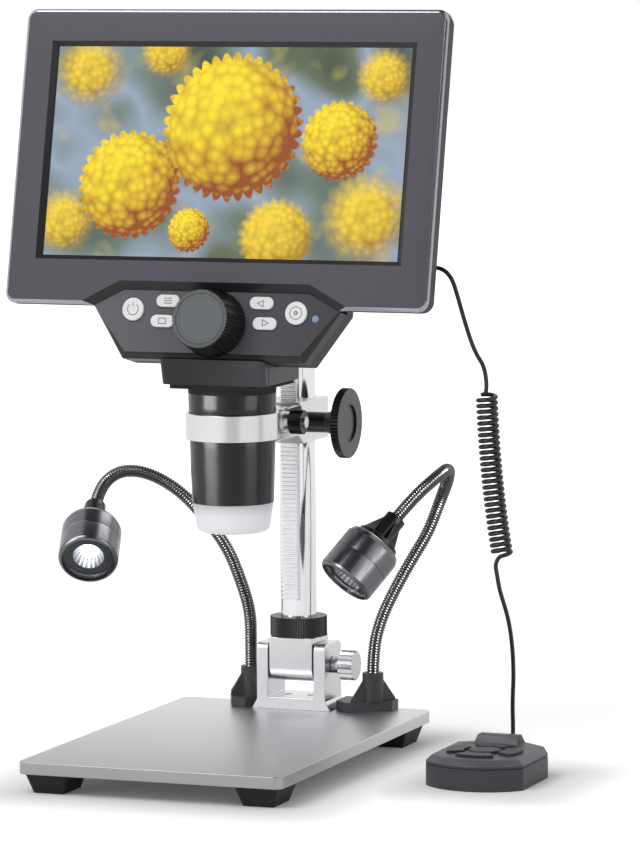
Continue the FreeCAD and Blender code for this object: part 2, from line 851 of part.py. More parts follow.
def column_pieces():
    """The round column, the rack let into its front and the knurled collar at its foot."""
    bottom = s.block_top - s.column_seat
    edge = s.column_radius - s.column_chamfer
    profile = [(0, bottom), (s.column_radius, bottom), (s.column_radius, s.column_top - s.column_chamfer)]
    profile += [(edge, s.column_top), (0, s.column_top)]
    post = turned("post", profile, (0, s.column_y, 0))
    slot_width = s.rack_width + s.hole_gap * 2
    slot_size = (slot_width, s.column_radius, s.rack_top - s.rack_bottom + s.hole_gap * 2)
    slot_y = s.column_y - s.rack_root - s.column_radius
    slot = block("post_slot", slot_size, (-slot_width / 2, slot_y, s.rack_bottom - s.hole_gap))
    keep("column", minus("slotted_post", post, slot))

    back = s.rack_root + s.seat_gap
    points = rack_outline(s.tooth_pitch, s.tooth_play, s.rack_bottom, s.rack_top, s.pinion_z, RACK_FACE, back)
    wire = polygon([(-s.rack_width / 2, s.column_y - out, up) for out, up in points])
    rack = Part.Face(wire).extrude(FreeCAD.Vector(s.rack_width, 0, 0))
    keep("rack_bar", solid("rack", rack))

    bore = Part.makeCylinder(s.column_radius + s.slide_gap, s.collar_tall)
    ring = ridged(s.collar_radius, s.ridge_deep, s.collar_ridges, 0, s.collar_tall).cut(bore)
    collar = solid("collar", ring)
    keep("column_collar", place(collar, (0, s.column_y, s.block_top + s.collar_lift)))


def carriage_pieces():
    """The carriage on the column, its clamp round the lens barrel and its height knob."""
    back = s.column_y + s.sleeve_behind
    corners = [(CARRIAGE_FRONT, s.arm_bottom), (s.sleeve_front - s.sleeve_lead, s.arm_bottom)]
    corners += [(s.sleeve_front + s.sleeve_slope, s.sleeve_bottom), (back, s.sleeve_bottom), (back, s.sleeve_top)]
    corners += [(s.sleeve_front, s.sleeve_top), (s.sleeve_front, s.arm_top), (CARRIAGE_FRONT, s.arm_top)]
    body = padded("arm", "YZ_Plane", corners, s.carriage_half * 2, 0.0, True)
    tall = s.sleeve_top - s.sleeve_bottom
    post_bore = rod("arm_bore", s.column_radius + s.slide_gap, tall, (0, s.column_y, s.sleeve_bottom))
    slot_width = s.rack_width + s.tooth_play * 2
    slot_y = s.column_y - s.rack_front - s.tooth_play
    slot = block("arm_slot", (slot_width, s.rack_front, tall), (-slot_width / 2, slot_y, s.sleeve_bottom))
    pocket_radius = RACK_MODULE * (s.pinion_teeth / 2 + s.tooth_addendum) + s.tooth_play
    pocket = rod("arm_pocket", pocket_radius, slot_width, (-slot_width / 2, PINION_Y, s.pinion_z), ALONG_X)
    shaft_start = -s.carriage_half + s.shaft_cover
    shaft_bore = rod("arm_shaft_bore", s.shaft_radius + s.pin_gap, s.carriage_half * 2,
                     (shaft_start, PINION_Y, s.pinion_z), ALONG_X)
    bolt_bore = s.clamp_shaft_radius + s.hole_gap
    arm_bolt_bore = rod("arm_bolt_bore", bolt_bore, s.carriage_half * 2,
                        (-s.carriage_half, s.clamp_y, s.clamp_z), ALONG_X)
    keep("carriage", minus("bored_arm", body, post_bore, slot, pocket, shaft_bore, arm_bolt_bore))

    band = rod("band", s.ring_outer, s.ring_tall, (0, s.lens_y, s.ring_bottom))
    inside = rod("band_bore", s.barrel_ring_radius + s.slide_gap, s.ring_tall, (0, s.lens_y, s.ring_bottom))
    slit_half = s.carriage_half + s.seat_gap
    slit = block("band_slit", (slit_half * 2, s.ear_back, s.ring_tall), (-slit_half, s.lens_y, s.ring_bottom))
    ears = [band]
    boss_long = s.clamp_nut_from - s.ear_half - s.slide_gap
    ear_starts = (("left", -s.ear_half, -s.ear_half - boss_long), ("right", slit_half, s.ear_half))
    for name, ear_x, boss_x in ear_starts:
        ear_size = (s.ear_half - slit_half, s.ear_back - s.ear_front, s.ring_tall)
        ears.append(block(name + "_ear", ear_size, (ear_x, s.ear_front, s.ring_bottom)))
        ears.append(rod(name + "_boss", s.clamp_knob_radius, boss_long, (boss_x, s.clamp_y, s.clamp_z), ALONG_X))
    bolt_hole = rod("band_bolt_bore", bolt_bore, s.clamp_nut_from * 2,
                    (-s.clamp_nut_from, s.clamp_y, s.clamp_z), ALONG_X)
    keep("clamp_ring", minus("slit_band", union("band_and_ears", *ears), inside, slit, bolt_hole))

    knob = ridged(s.clamp_knob_radius, s.ridge_deep, s.clamp_knob_ridges, 0, s.clamp_knob_thick)
    bolt_long = s.clamp_knob_thick + s.clamp_knob_from + s.clamp_nut_from + s.clamp_nut_thick + s.clamp_bolt_end
    bolt = solid("bolt", knob.fuse(Part.makeCylinder(s.clamp_shaft_radius, bolt_long)).removeSplitter())
    bolt_start = -s.clamp_knob_from - s.clamp_knob_thick
    keep("clamp_bolt", place(bolt, (bolt_start, s.clamp_y, s.clamp_z), ALONG_X))
    nut = ridged(s.clamp_nut_radius, s.ridge_deep, s.clamp_nut_ridges, 0, s.clamp_nut_thick)
    nut = solid("nut", nut.cut(Part.makeCylinder(bolt_bore, s.clamp_nut_thick)))
    keep("clamp_nut", place(nut, (s.clamp_nut_from, s.clamp_y, s.clamp_z), ALONG_X))

    half = s.rack_width / 2
    wheel = gear(s.tooth_pitch, s.pinion_teeth, s.tooth_play, -half, half)
    left = shaft_start + s.hole_gap
    knob_start = s.carriage_half + s.head_recess_gap
    disc_start = s.hub_long + s.hub_cone
    axle = Part.makeCylinder(s.shaft_radius, knob_start + disc_start - left, FreeCAD.Vector(0, 0, left))
    pinion = solid("pinion", wheel.fuse(axle).removeSplitter())
    keep("pinion_shaft", place(pinion, (0, PINION_Y, s.pinion_z), Z_TO_X_TO_Y))

    disc_end = disc_start + s.height_knob_thick
    hub = Part.makeCylinder(s.hub_radius, s.hub_long)
    flare = Part.makeCone(s.hub_radius, s.hub_cone_radius, s.hub_cone, FreeCAD.Vector(0, 0, s.hub_long))
    disc = ridged(s.height_knob_radius, s.height_ridge_deep, s.height_knob_ridges, disc_start, disc_end)
    dish = Part.makeCylinder(s.height_knob_dish, s.height_knob_dish_deep,
                             FreeCAD.Vector(0, 0, disc_end - s.height_knob_dish_deep))
    bore = Part.makeCylinder(s.shaft_radius + s.hole_gap, disc_start)
    shape = hub.fuse([flare, disc]).cut([dish, bore]).removeSplitter()
    keep("height_knob", place(solid("knob", shape), (knob_start, PINION_Y, s.pinion_z), Z_TO_X_TO_Y))


# The display head. Its frame has u to the right, v up the screen and w out of the screen

def rectangle(half_width, low, high):
    """The corners of a rectangle that is centred on u."""
    return [(-half_width, low), (half_width, low), (half_width, high), (-half_width, high)]


def corner_screws():
    """The places of the screws that close the display's two shells."""
    u = (s.bezel_half + s.lcd_half_width) / 2
    high, low = (s.bezel_top + s.lcd_half_tall) / 2, -(s.bezel_bottom + s.lcd_half_tall) / 2
    return [(side * u, v) for side in (-1, 1) for v in (low, high)]


def board_posts():
    """The places of the posts that carry the main board."""
    reach_u, reach_v = s.board_half_width - s.post_inset, s.board_half_tall - s.post_inset
    return [(side * reach_u, s.board_v + up * reach_v) for side in (-1, 1) for up in (-1, 1)]


def in_front_edge(edge, height):
    """Whether an edge lies flat at a height."""
    return abs(edge.BoundBox.ZMin - height) < 1e-4 and abs(edge.BoundBox.ZMax - height) < 1e-4


def bezel_piece():
    """The frame round the display, with a notch above the control panel."""
    front = padded("bezel", "XY_Plane", rectangle(s.bezel_half, -s.bezel_bottom, s.bezel_top), s.bezel_deep,
                   -s.bezel_deep)
    dressed(front, "Fillet", s.bezel_corner, lambda edge: is_line_along(edge, Z_AXIS))
    slope = (s.panel_mid_half - s.panel_top_half) / (s.panel_mid - s.panel_top)
    below = s.bezel_bottom + s.bezel_chamfer
    notch_half = s.panel_top_half + s.seam_gap
    notch_low_half = notch_half + (below - s.panel_top) * slope
    notch_top = -s.panel_top + s.seam_gap
    notch = [(-notch_low_half, -below), (notch_low_half, -below)]
    notch += [(notch_half, notch_top), (-notch_half, notch_top)]
    hollowed(front, notch, s.bezel_deep, Size(0.0))
    dressed(front, "Chamfer", s.panel_sink, lambda edge: in_front_edge(edge, 0)
            and abs(edge.CenterOfMass.x) < notch_low_half
            and -s.bezel_bottom + s.hole_gap < edge.CenterOfMass.y < 0)
    dressed(front, "Chamfer", s.bezel_chamfer, lambda edge: in_front_edge(edge, 0)
            and (abs(edge.CenterOfMass.x) > s.bezel_half - s.bezel_corner or edge.CenterOfMass.y > 0
                 or edge.CenterOfMass.y < -s.bezel_bottom + s.hole_gap))
    window = rectangle(s.view_width / 2, -s.view_tall / 2, s.view_tall / 2)
    hollowed(front, window, s.bezel_wall, Size(0.0))
    dressed(front, "Chamfer", s.bezel_bevel, lambda edge: in_front_edge(edge, 0)
            and abs(edge.CenterOfMass.x) < s.view_width / 2 + s.hole_gap
            and abs(edge.CenterOfMass.y) < s.view_tall / 2 + s.hole_gap)
    pocket = rectangle(s.lcd_half_width + s.pin_gap, -s.lcd_half_tall - s.pin_gap, s.lcd_half_tall + s.pin_gap)
    hollowed(front, pocket, s.bezel_deep - s.bezel_wall, -s.bezel_wall)
    hole_long = s.bezel_deep / 2
    drilled(front, corner_screws(), s.small_screw_radius + s.hole_gap, hole_long, -s.bezel_deep + hole_long)
    keep("front_bezel", front)
    in_head(front)


def key_cutter(name, width, tall, u, v, low, high, grow):
    """A round-ended prism, for a key or its hole."""
    return solid(name, pill(width + grow * 2, tall + grow * 2, low, high, u, v))


def head_keys():
    """The six keys under the display: name, width, height and place."""
    wide, tall, round_size = s.key_pill_width, s.key_pill_tall, s.key_round_radius * 2
    return [("power_button", round_size, round_size, -s.round_key_u, s.round_key_v),
            ("ok_button", round_size, round_size, s.round_key_u, s.round_key_v),
            ("menu_button", wide, tall, -s.upper_key_u, s.upper_key_v),
            ("mode_button", wide, tall, -s.lower_key_u, s.lower_key_v),
            ("up_button", wide, tall, s.upper_key_u, s.upper_key_v),
            ("down_button", wide, tall, s.lower_key_u, s.lower_key_v)]


def panel_piece():
    """The control panel under the display, with a skirt behind it."""
    right = [(s.panel_bottom_half, -s.panel_bottom), (s.panel_mid_half, -s.panel_mid)]
    right += [(s.panel_top_half, -s.panel_top)]
    face = padded("panel", "XY_Plane", mirrored(right), s.panel_thick, -s.panel_sink - s.panel_thick)
    skirt = [(s.pod_low_half, -s.pod_bottom), (s.pod_half, -s.pod_top)]
    pushed_out(face, "XY_Plane", mirrored(skirt), s.skirt_back - s.pod_front, -s.skirt_back)
    wall = s.cover_wall
    inner_top = -s.pod_top + wall
    inner = [(s.pod_low_half - wall, -s.pod_bottom + wall), (s.pod_half - wall * 1.2, -s.pod_top)]
    inner += [(s.pod_half - wall * 1.2, inner_top)]
    plate_back = s.panel_sink + s.panel_thick
    hollowed(face, mirrored(inner), s.skirt_back - plate_back, -plate_back)
    dressed(face, "Chamfer", s.lip_chamfer, lambda edge: in_front_edge(edge, -s.pod_front)
            and edge.CenterOfMass.y < -s.pod_top - s.hole_gap and abs(edge.CenterOfMass.x) < s.pod_half
            and (edge.CenterOfMass.y < -s.pod_bottom + s.hole_gap
                 or abs(edge.CenterOfMass.x) > (s.pod_low_half + s.pod_half) / 2 - s.hole_gap))
    cutters = [key_cutter(name + "_hole", width, tall, u, v, -plate_back, 0, s.key_gap)
               for name, width, tall, u, v in head_keys()]
    cutters.append(rod("led_hole", s.led_radius + s.key_gap, plate_back, (s.led_u, s.led_v, -plate_back)))
    cutters.append(rod("focus_hole", s.focus_shaft_radius + s.key_gap, plate_back,
                       (0, -s.focus_v_down, -plate_back)))
    in_head(keep("control_panel", minus("pierced_panel", face, *cutters)))


def cover_piece():
    """The rear shell of the display and of the controls, with its posts, socket and card slot."""
    edge = s.bezel_half - s.cover_step
    low, high = -s.bezel_bottom + s.cover_step, s.bezel_top - s.cover_step
    front = -s.bezel_deep - s.seat_gap
    wall = s.cover_wall
    shell = padded("cover", "XY_Plane", rectangle(edge, low, high), s.cover_edge + front, -s.cover_edge)
    dressed(shell, "Fillet", s.bezel_corner, lambda line: is_line_along(line, Z_AXIS))
    hump = rectangle(s.hump_half, -s.hump_bottom, s.hump_top)
    pushed_out(shell, "XY_Plane", hump, s.cover_back - s.cover_edge + wall / 2, -s.cover_back)
    dressed(shell, "Chamfer", s.hump_taper, lambda line: in_front_edge(line, -s.cover_back))
    pod = [(s.pod_low_half, -s.pod_bottom), (s.pod_half, -s.pod_top)]
    pod.append((s.pod_half, -s.hump_bottom + s.hump_taper * 2))
    pushed_out(shell, "XY_Plane", mirrored(pod), s.cover_back - s.skirt_back - s.seam_gap, -s.cover_back)
    rim = rectangle(edge - wall, low + wall, high - wall)
    hollowed(shell, rim, s.cover_edge - wall + front, front)
    inside = rectangle(s.hump_half - wall, -s.hump_bottom + wall, s.hump_top - wall)
    inner_back = s.cover_back - wall
    hollowed(shell, inside, inner_back + front, front)
    wide = s.pod_half - wall
    pod_inside = [(s.pod_low_half - wall, -s.pod_bottom + wall), (wide, -s.pod_top)]
    pod_inside.append((wide, -s.hump_bottom + wall * 4))
    hollowed(shell, mirrored(pod_inside), inner_back + front, front)

    posts = []
    for number, (u, v) in enumerate(board_posts() + key_posts(), start=1):
        top = -s.board_w if number <= 4 else -s.key_board_w
        name = "post%d" % number
        post = rod(name, s.post_radius, s.cover_back - wall / 2 + top, (u, v, -s.cover_back + wall / 2))
        pilot = rod(name + "_pilot", s.small_screw_radius + s.hole_gap, s.small_screw_length,
                    (u, v, top - s.small_screw_length))
        posts.append(minus(name + "_drilled", post, pilot))
    cutters = [rod("plug_hole", s.plug_radius + s.pin_gap, s.plug_radius * 2,
                   (s.hump_half - s.plug_radius, s.plug_v, s.plug_w), ALONG_X)]
    slot = (s.card_wide + s.key_gap * 2, s.card_thick + s.key_gap * 2)
    cutters.append(block("card_slot", (s.hump_taper * 2, slot[0], slot[1]),
                         (-s.hump_half - s.hump_taper, s.card_v - slot[0] / 2, s.card_w - slot[1] / 2)))
    cutters.append(rod("focus_bore", s.focus_shaft_radius + s.pin_gap, s.cover_back,
                       (0, -s.focus_v_down, -s.cover_back)))
    for number, (u, v) in enumerate(corner_screws(), start=1):
        name = "cover_hole%d" % number
        cutters.append(rod(name, s.small_screw_radius + s.hole_gap, s.cover_edge, (u, v, -s.cover_edge)))
        cutters.append(rod(name + "_sink", s.small_head_radius + s.key_gap, s.small_head_tall,
                           (u, v, -s.cover_edge)))
    drilled_cover = minus("pierced_cover", shell, *cutters)
    in_head(keep("rear_cover", union("cover_with_posts", drilled_cover, *posts)))


def key_posts():
    """The places of the posts that carry the key board."""
    return [(side * s.key_post_u, s.key_post_v) for side in (-1, 1)]


def display_insides():
    """The display panel, the boards, the battery, the card and the small screws."""
    lcd = rectangle(s.lcd_half_width, -s.lcd_half_tall, s.lcd_half_tall)
    lcd_back = -s.bezel_wall - s.seat_gap - s.lcd_thick
    in_head(keep("lcd_panel", padded("lcd", "XY_Plane", lcd, s.lcd_thick, lcd_back)))

    size = (s.board_half_width * 2, s.board_half_tall * 2, s.board_thick)
    board = block("board", size, (-s.board_half_width, s.board_v - s.board_half_tall, -s.board_w))
    cage_wide = s.card_wide + s.cage_rim * 2
    cage_back = s.card_w - s.card_thick / 2 - s.cage_wall
    cage_front = -s.board_w
    cage = block("cage", (s.card_long, cage_wide, cage_front - cage_back),
                 (-s.board_half_width, s.card_v - cage_wide / 2, cage_back))
    slot = (s.card_wide + s.key_gap * 2, s.card_thick + s.key_gap * 2)
    throat = block("cage_slot", (s.card_long, slot[0], slot[1]),
                   (-s.board_half_width, s.card_v - slot[0] / 2, s.card_w - slot[1] / 2))
    chip_at = (s.chip_u, s.board_v - s.chip_wide / 2, -s.board_w - s.chip_thick)
    chip = block("chip", (s.chip_wide, s.chip_wide, s.chip_thick), chip_at)
    hole_radius = s.small_screw_radius + s.hole_gap
    holes = [rod("board_hole%d" % number, hole_radius, s.board_thick, (u, v, -s.board_w))
             for number, (u, v) in enumerate(board_posts(), start=1)]
    blank = union("board_and_cage", board, cage, chip)
    in_head(keep("main_board", minus("bored_board", blank, throat, *holes)))

    half_tall = s.battery_tall / 2
    cell = rectangle(s.battery_width / 2, s.board_v - half_tall, s.board_v + half_tall)
    back = -s.cover_back + s.cover_wall + s.seat_gap
    in_head(keep("battery", padded("cell", "XY_Plane", cell, s.battery_thick, back)))

    right = [(s.key_board_low_half, -s.key_board_bottom), (s.key_board_half, -s.pod_top - s.key_board_drop)]
    right += [(s.key_board_half, -s.key_board_top)]
    keys = padded("keys", "XY_Plane", mirrored(right), s.board_thick, -s.key_board_w)
    front = -s.key_board_w + s.board_thick
    led = rod("led", s.led_radius, -s.panel_sink - front, (s.led_u, s.led_v, front))
    shaft_hole = rod("keys_shaft_hole", s.focus_shaft_radius + s.focus_shaft_clear, s.board_thick,
                     (0, -s.focus_v_down, -s.key_board_w))
    hole_radius = s.small_screw_radius + s.hole_gap
    holes = [rod("keys_hole%d" % number, hole_radius, s.board_thick, (u, v, -s.key_board_w))
             for number, (u, v) in enumerate(key_posts(), start=1)]
    in_head(keep("key_board", minus("bored_keys", union("keys_and_led", keys, led), shaft_hole, *holes)))

    left = -s.hump_half - s.card_out
    low, high = s.card_v - s.card_wide / 2, s.card_v + s.card_wide / 2
    card = [(left, low), (left + s.card_long, low), (left + s.card_long, high), (left, high)]
    card_back = s.card_w - s.card_thick / 2
    in_head(keep("memory_card", padded("card", "XY_Plane", card, s.card_thick, card_back)))

    screws = []
    sizes = (s.small_head_radius, s.small_head_tall, s.small_screw_radius, s.small_screw_length)
    for number, (u, v) in enumerate(corner_screws(), start=1):
        screws.append(screw("cover_screw%d" % number, (u, v, -s.cover_edge + s.small_head_tall), *sizes))
    for number, (u, v) in enumerate(board_posts() + key_posts(), start=1):
        seat = (u, v, s.board_thick + s.seat_gap - (s.board_w if number <= 4 else s.key_board_w))
        head = rod("board_screw_head%d" % number, s.small_head_radius, s.small_head_tall, seat)
        shank_start = (u, v, seat[2] - s.small_screw_length)
        shank = rod("board_screw_shank%d" % number, s.small_screw_radius, s.small_screw_length, shank_start)
        screws.append(union("board_screw%d" % number, head, shank))
    in_head(keep("housing_screws", group("small_screws", *screws)))


def key_pieces():
    """The six keys, each with a flange and a stem behind the panel."""
    back = -s.panel_sink - s.panel_thick - s.seat_gap
    for name, width, tall, u, v in head_keys():
        cap = pill(width, tall, back - s.key_flange / 2, -s.panel_sink + s.key_rise, u, v)
        rim = s.key_flange * 2
        flange = pill(width + rim, tall + rim, back - s.key_flange, back, u, v)
        stem_end = -s.key_board_w + s.board_thick + s.key_travel + s.pin_gap
        stem = Part.makeCylinder(s.key_stem_radius, back - stem_end, FreeCAD.Vector(u, v, stem_end))
        in_head(keep(name, solid(name + "_shape", cap.fuse([flange, stem]).removeSplitter())))


def focus_pieces():
    """The focus knob, its shaft with a pinion, and the lens tube that the pinion lifts."""
    start = -s.panel_sink + s.focus_lift
    end = start + s.focus_long
    knob = ridged(s.focus_back_radius, s.focus_ridge_deep, s.focus_ridges, start, end, s.focus_front_radius)
    dish_start = FreeCAD.Vector(0, 0, end - s.focus_dish)
    face = Part.makeCylinder(s.focus_front_radius - s.focus_rim, s.focus_dish, dish_start)
    bore = Part.makeCylinder(s.focus_shaft_radius + s.hole_gap, s.focus_bore, FreeCAD.Vector(0, 0, start))
    knob.translate(FreeCAD.Vector(0, -s.focus_v_down, 0))
    for cutter in (face, bore):
        cutter.translate(FreeCAD.Vector(0, -s.focus_v_down, 0))
    in_head(keep("focus_knob", solid("focus_dial", knob.cut([face, bore]))))

    back = -s.focus_pinion_from - s.focus_pinion_long
    wheel = gear(s.focus_pitch, s.focus_teeth, s.tooth_play, back, -s.focus_pinion_from)
    wheel.translate(FreeCAD.Vector(0, -s.focus_v_down, 0))
    axle_long = start + s.focus_bore - s.hole_gap - back
    axle = Part.makeCylinder(s.focus_shaft_radius, axle_long, FreeCAD.Vector(0, -s.focus_v_down, back))
    in_head(keep("focus_shaft", solid("focus_axle", wheel.fuse(axle).removeSplitter())))

    stand = FreeCAD.Placement(FreeCAD.Vector(0, s.head_y, s.head_z), FreeCAD.Rotation(X_AXIS, 90 - s.head_lean))
    middle = -s.focus_v_down
    out = FOCUS_RADIUS + s.hole_gap
    spare = s.bar_teeth_reach
    points = rack_outline(s.focus_pitch, s.tooth_play, middle - spare, middle + spare, middle, 0, -spare)
    wire = polygon([(out - reach, v, back - spare) for reach, v in points])
    teeth = Part.Face(wire).extrude(FreeCAD.Vector(0, 0, s.focus_pinion_long + spare * 2))
    teeth.Placement = stand
    bar_back = s.lens_y + s.bar_far
    bar_deep = s.bar_far - s.bar_near
    bar_front = bar_back - bar_deep
    toothed = Part.makeBox(s.bar_side, bar_deep, s.bar_top - s.bar_teeth_from,
                           FreeCAD.Vector(0, bar_front, s.bar_teeth_from)).common(teeth)
    plain_x = out + s.focus_pitch / math.pi
    thick = s.bar_side - plain_x
    lug_bottom = s.tube_top - s.lug_tall
    plain = Part.makeBox(thick, bar_deep, s.bar_teeth_from - lug_bottom,
                         FreeCAD.Vector(plain_x, bar_front, lug_bottom))
    lug = Part.makeBox(thick, bar_back - s.lens_y, s.lug_tall, FreeCAD.Vector(plain_x, s.lens_y, lug_bottom))
    centre = FreeCAD.Vector(0, s.lens_y, s.tube_bottom)
    wall = Part.makeCylinder(s.tube_radius, s.tube_top - s.tube_bottom, centre)
    bore = Part.makeCylinder(s.tube_radius - s.tube_wall, s.tube_top - s.tube_bottom, centre)
    tube = wall.fuse([lug, plain, toothed]).cut(bore).removeSplitter()
    keep("lens_tube", solid("tube", tube))


def neck_pieces():
    """The hollow neck between the display and the barrel, in two shells."""
    under = -s.pod_bottom - s.seat_gap
    behind = -s.cover_back - s.seat_gap
    wall = s.neck_wall

    slope = sine(s.head_lean) / cosine(s.head_lean)

    def top_at(y, drop=0.0):
        """The height of the neck's sloping top at a depth."""
        return head_z(under, 0) - drop - (y - head_y(under, 0)) * slope

    notch = (head_y(under, behind), head_z(under, behind))
    crown_front = head_y(0, behind) + (s.neck_crown - head_z(0, behind)) * slope
    body = [(s.neck_split, s.neck_bottom), (s.neck_back, s.neck_bottom), (s.neck_back, s.neck_back_top)]
    body += [(s.neck_shoulder, s.neck_crown - s.neck_crown_fall), (crown_front, s.neck_crown), notch]
    body.append((s.neck_split, top_at(s.neck_split)))
    shell = padded("neck", "YZ_Plane", body, s.neck_half * 2, 0.0, True)
    dressed(shell, "Fillet", s.neck_round, lambda edge: is_line_along(edge, Z_AXIS)
            and edge.CenterOfMass.y > s.neck_shoulder)
    floor = s.neck_bottom + wall
    inner = [(s.neck_split - wall, floor), (s.neck_back - wall, floor)]
    inner.append((s.neck_back - wall, s.neck_back_top - wall / 2))
    inner += [(s.neck_shoulder - wall / 2, s.neck_crown - wall * 1.5), (crown_front + wall, s.neck_crown - wall)]
    inner += [(head_y(under - wall, behind - wall), head_z(under - wall, behind - wall))]
    inner += [(s.neck_split - wall, top_at(s.neck_split - wall, wall))]
    hollow = padded("neck_hollow", "YZ_Plane", inner, (s.neck_half - wall) * 2, 0.0, True)
    mouth = rod("neck_mouth", s.barrel_top_radius - s.barrel_wall * 0.8, wall, (0, s.lens_y, s.neck_bottom))
    away = FreeCAD.Rotation(X_AXIS, 90 - s.head_lean)
    reach = 2 * wall
    shaft_hole = rod("neck_shaft_hole", s.focus_shaft_radius + s.focus_shaft_clear, reach,
                     (0, head_y(-s.focus_v_down, behind - reach), head_z(-s.focus_v_down, behind - reach)), away)
    keep("neck_body", minus("hollow_neck", shell, hollow, mouth, shaft_hole))

    split = s.neck_split - s.seam_gap
    front = [(s.neck_front_low, s.neck_bottom), (split, s.neck_bottom)]
    front += [(split, top_at(split)), (s.neck_front, top_at(s.neck_front))]
    lip = padded("neck_lip", "YZ_Plane", front, s.neck_half * 2, 0.0, True)
    dressed(lip, "Fillet", s.neck_round, lambda edge: edge.CenterOfMass.y < s.neck_front_low
            and abs(edge.CenterOfMass.x) > s.neck_half - s.hole_gap and edge.BoundBox.ZLength > wall * 2)
    inside = [(s.neck_front_low + wall, floor), (split + wall, floor), (split + wall, top_at(split + wall, wall))]
    inside += [(s.neck_front + wall, top_at(s.neck_front + wall, wall))]
    scoop = padded("neck_scoop", "YZ_Plane", inside, (s.neck_half - wall) * 2, 0.0, True)
    keep("neck_front_cover", minus("hollow_lip", lip, scoop))


def barrel_pieces():
    """The lens barrel with its guides, and the sensor, lens, lamp ring and frosted cap in it."""
    bottom, top = s.barrel_bottom, s.neck_bottom - s.seat_gap
    low_bore, high_bore = s.barrel_low_radius - s.barrel_wall, s.barrel_ring_radius - s.barrel_wall
    guide = s.tube_radius + s.slide_gap
    lip = s.head_recess_gap
    profile = [(s.barrel_low_radius, bottom), (s.barrel_ring_radius, s.ring_bottom - lip)]
    profile += [(s.barrel_ring_radius, RING_TOP + lip), (s.barrel_ring_radius + lip, RING_TOP + lip)]
    profile += [(s.barrel_top_radius, top), (s.barrel_top_radius - s.barrel_wall, top)]
    profile += [(s.barrel_top_radius - s.barrel_wall, s.ledge_top), (s.ledge_radius, s.ledge_top)]
    profile += [(s.ledge_radius, s.ledge_bottom), (high_bore, s.ledge_bottom), (high_bore, s.guide_high_top)]
    profile += [(guide, s.guide_high_top), (guide, s.guide_high), (low_bore, s.guide_high)]
    profile += [(low_bore, s.guide_low + s.guide_tall), (guide, s.guide_low + s.guide_tall), (guide, s.guide_low)]
    profile += [(low_bore, s.guide_low), (low_bore, s.led_board_z + s.led_board_thick + s.guide_tall / 2)]
    led_top = s.led_board_z + s.led_board_thick + s.seat_gap
    profile += [(guide + 1, s.led_board_z + s.led_board_thick + s.guide_tall / 2), (guide + 1, led_top)]
    profile += [(low_bore, led_top), (low_bore, bottom)]
    barrel = turned("barrel", profile, (0, s.lens_y, 0))
    flange_size = (s.flange_half * 2, s.flange_back - s.flange_front, s.flange_thick)
    flange = block("flange", flange_size, (-s.flange_half, s.flange_front, top - s.flange_thick))
    eye = rod("flange_eye", s.barrel_top_radius - s.barrel_wall, s.flange_thick, (0, s.lens_y, top - s.flange_thick))
    notch_x = FOCUS_RADIUS + s.slide_gap
    notch_wide = s.bar_side + s.key_gap * 2 - notch_x
    notch = block("bar_notch", (notch_wide, s.bar_far + s.key_gap, s.ledge_top - s.ledge_bottom),
                  (notch_x, s.lens_y, s.ledge_bottom))
    keep("lens_barrel", minus("notched_barrel", union("barrel_and_flange", barrel, flange), eye, notch))

    half, deep = s.sensor_half, s.sensor_deep
    plate_bottom = s.ledge_top + s.seat_gap
    board = block("sensor_board", (half * 2, deep * 2, s.board_thick), (-half, s.lens_y - deep, plate_bottom))
    chip_at = (-s.sensor_chip / 2, s.lens_y - s.sensor_chip / 2, plate_bottom - s.sensor_chip_thick)
    chip = block("sensor_chip", (s.sensor_chip, s.sensor_chip, s.sensor_chip_thick), chip_at)
    keep("image_sensor", union("sensor", board, chip))

    glass_radius = s.tube_radius - s.tube_wall - s.hole_gap
    curve = glass_radius * 2
    sag = curve - math.sqrt(curve ** 2 - glass_radius ** 2)
    centre = s.tube_bottom + s.lens_thick
    apart = curve - sag - s.lens_thick / 4
    lower = Part.makeSphere(curve, FreeCAD.Vector(0, s.lens_y, centre + apart))
    upper = Part.makeSphere(curve, FreeCAD.Vector(0, s.lens_y, centre - apart))
    rim = Part.makeCylinder(glass_radius, s.lens_thick * 3, FreeCAD.Vector(0, s.lens_y, s.tube_bottom))
    keep("objective_lens", solid("glass", lower.common(upper).common(rim)))

    ring = rod("led_disc", s.led_board_radius, s.led_board_thick, (0, s.lens_y, s.led_board_z))
    hole = rod("led_disc_hole", guide, s.led_board_thick, (0, s.lens_y, s.led_board_z))
    disc = minus("led_plate", ring, hole)
    lamps = []
    reach = (s.led_board_radius + guide) / 2
    for number in range(int(s.led_count)):
        angle = 2 * math.pi * number / s.led_count
        x, y = reach * math.cos(angle) - s.led_size / 2, s.lens_y + reach * math.sin(angle) - s.led_size / 2
        lamp_size = (s.led_size, s.led_size, s.led_tall)
        lamps.append(block("led%d" % number, lamp_size, (x, y, s.led_board_z - s.led_tall)))
    keep("led_ring", union("led_ring_shape", disc, *lamps))

    cap_top = s.barrel_bottom - s.seat_gap
    rise = s.cap_bottom + s.cap_round
    profile = [(s.cap_hole, s.cap_bottom), (s.cap_low_radius - s.cap_round, s.cap_bottom)]
    profile += [(s.cap_low_radius - s.cap_round * 0.3, s.cap_bottom + s.cap_round * 0.3), (s.cap_low_radius, rise)]
    profile += [(s.cap_radius, cap_top), (s.cap_radius - s.cap_wall, cap_top)]
    profile += [(s.cap_low_radius - s.cap_wall, rise), (s.cap_low_radius - s.cap_round, s.cap_bottom + s.cap_wall)]
    profile += [(s.cap_hole, s.cap_bottom + s.cap_wall)]
    keep("diffuser_cap", turned("cap", profile, (0, s.lens_y, 0)))


# Routes of the hoses and the cord

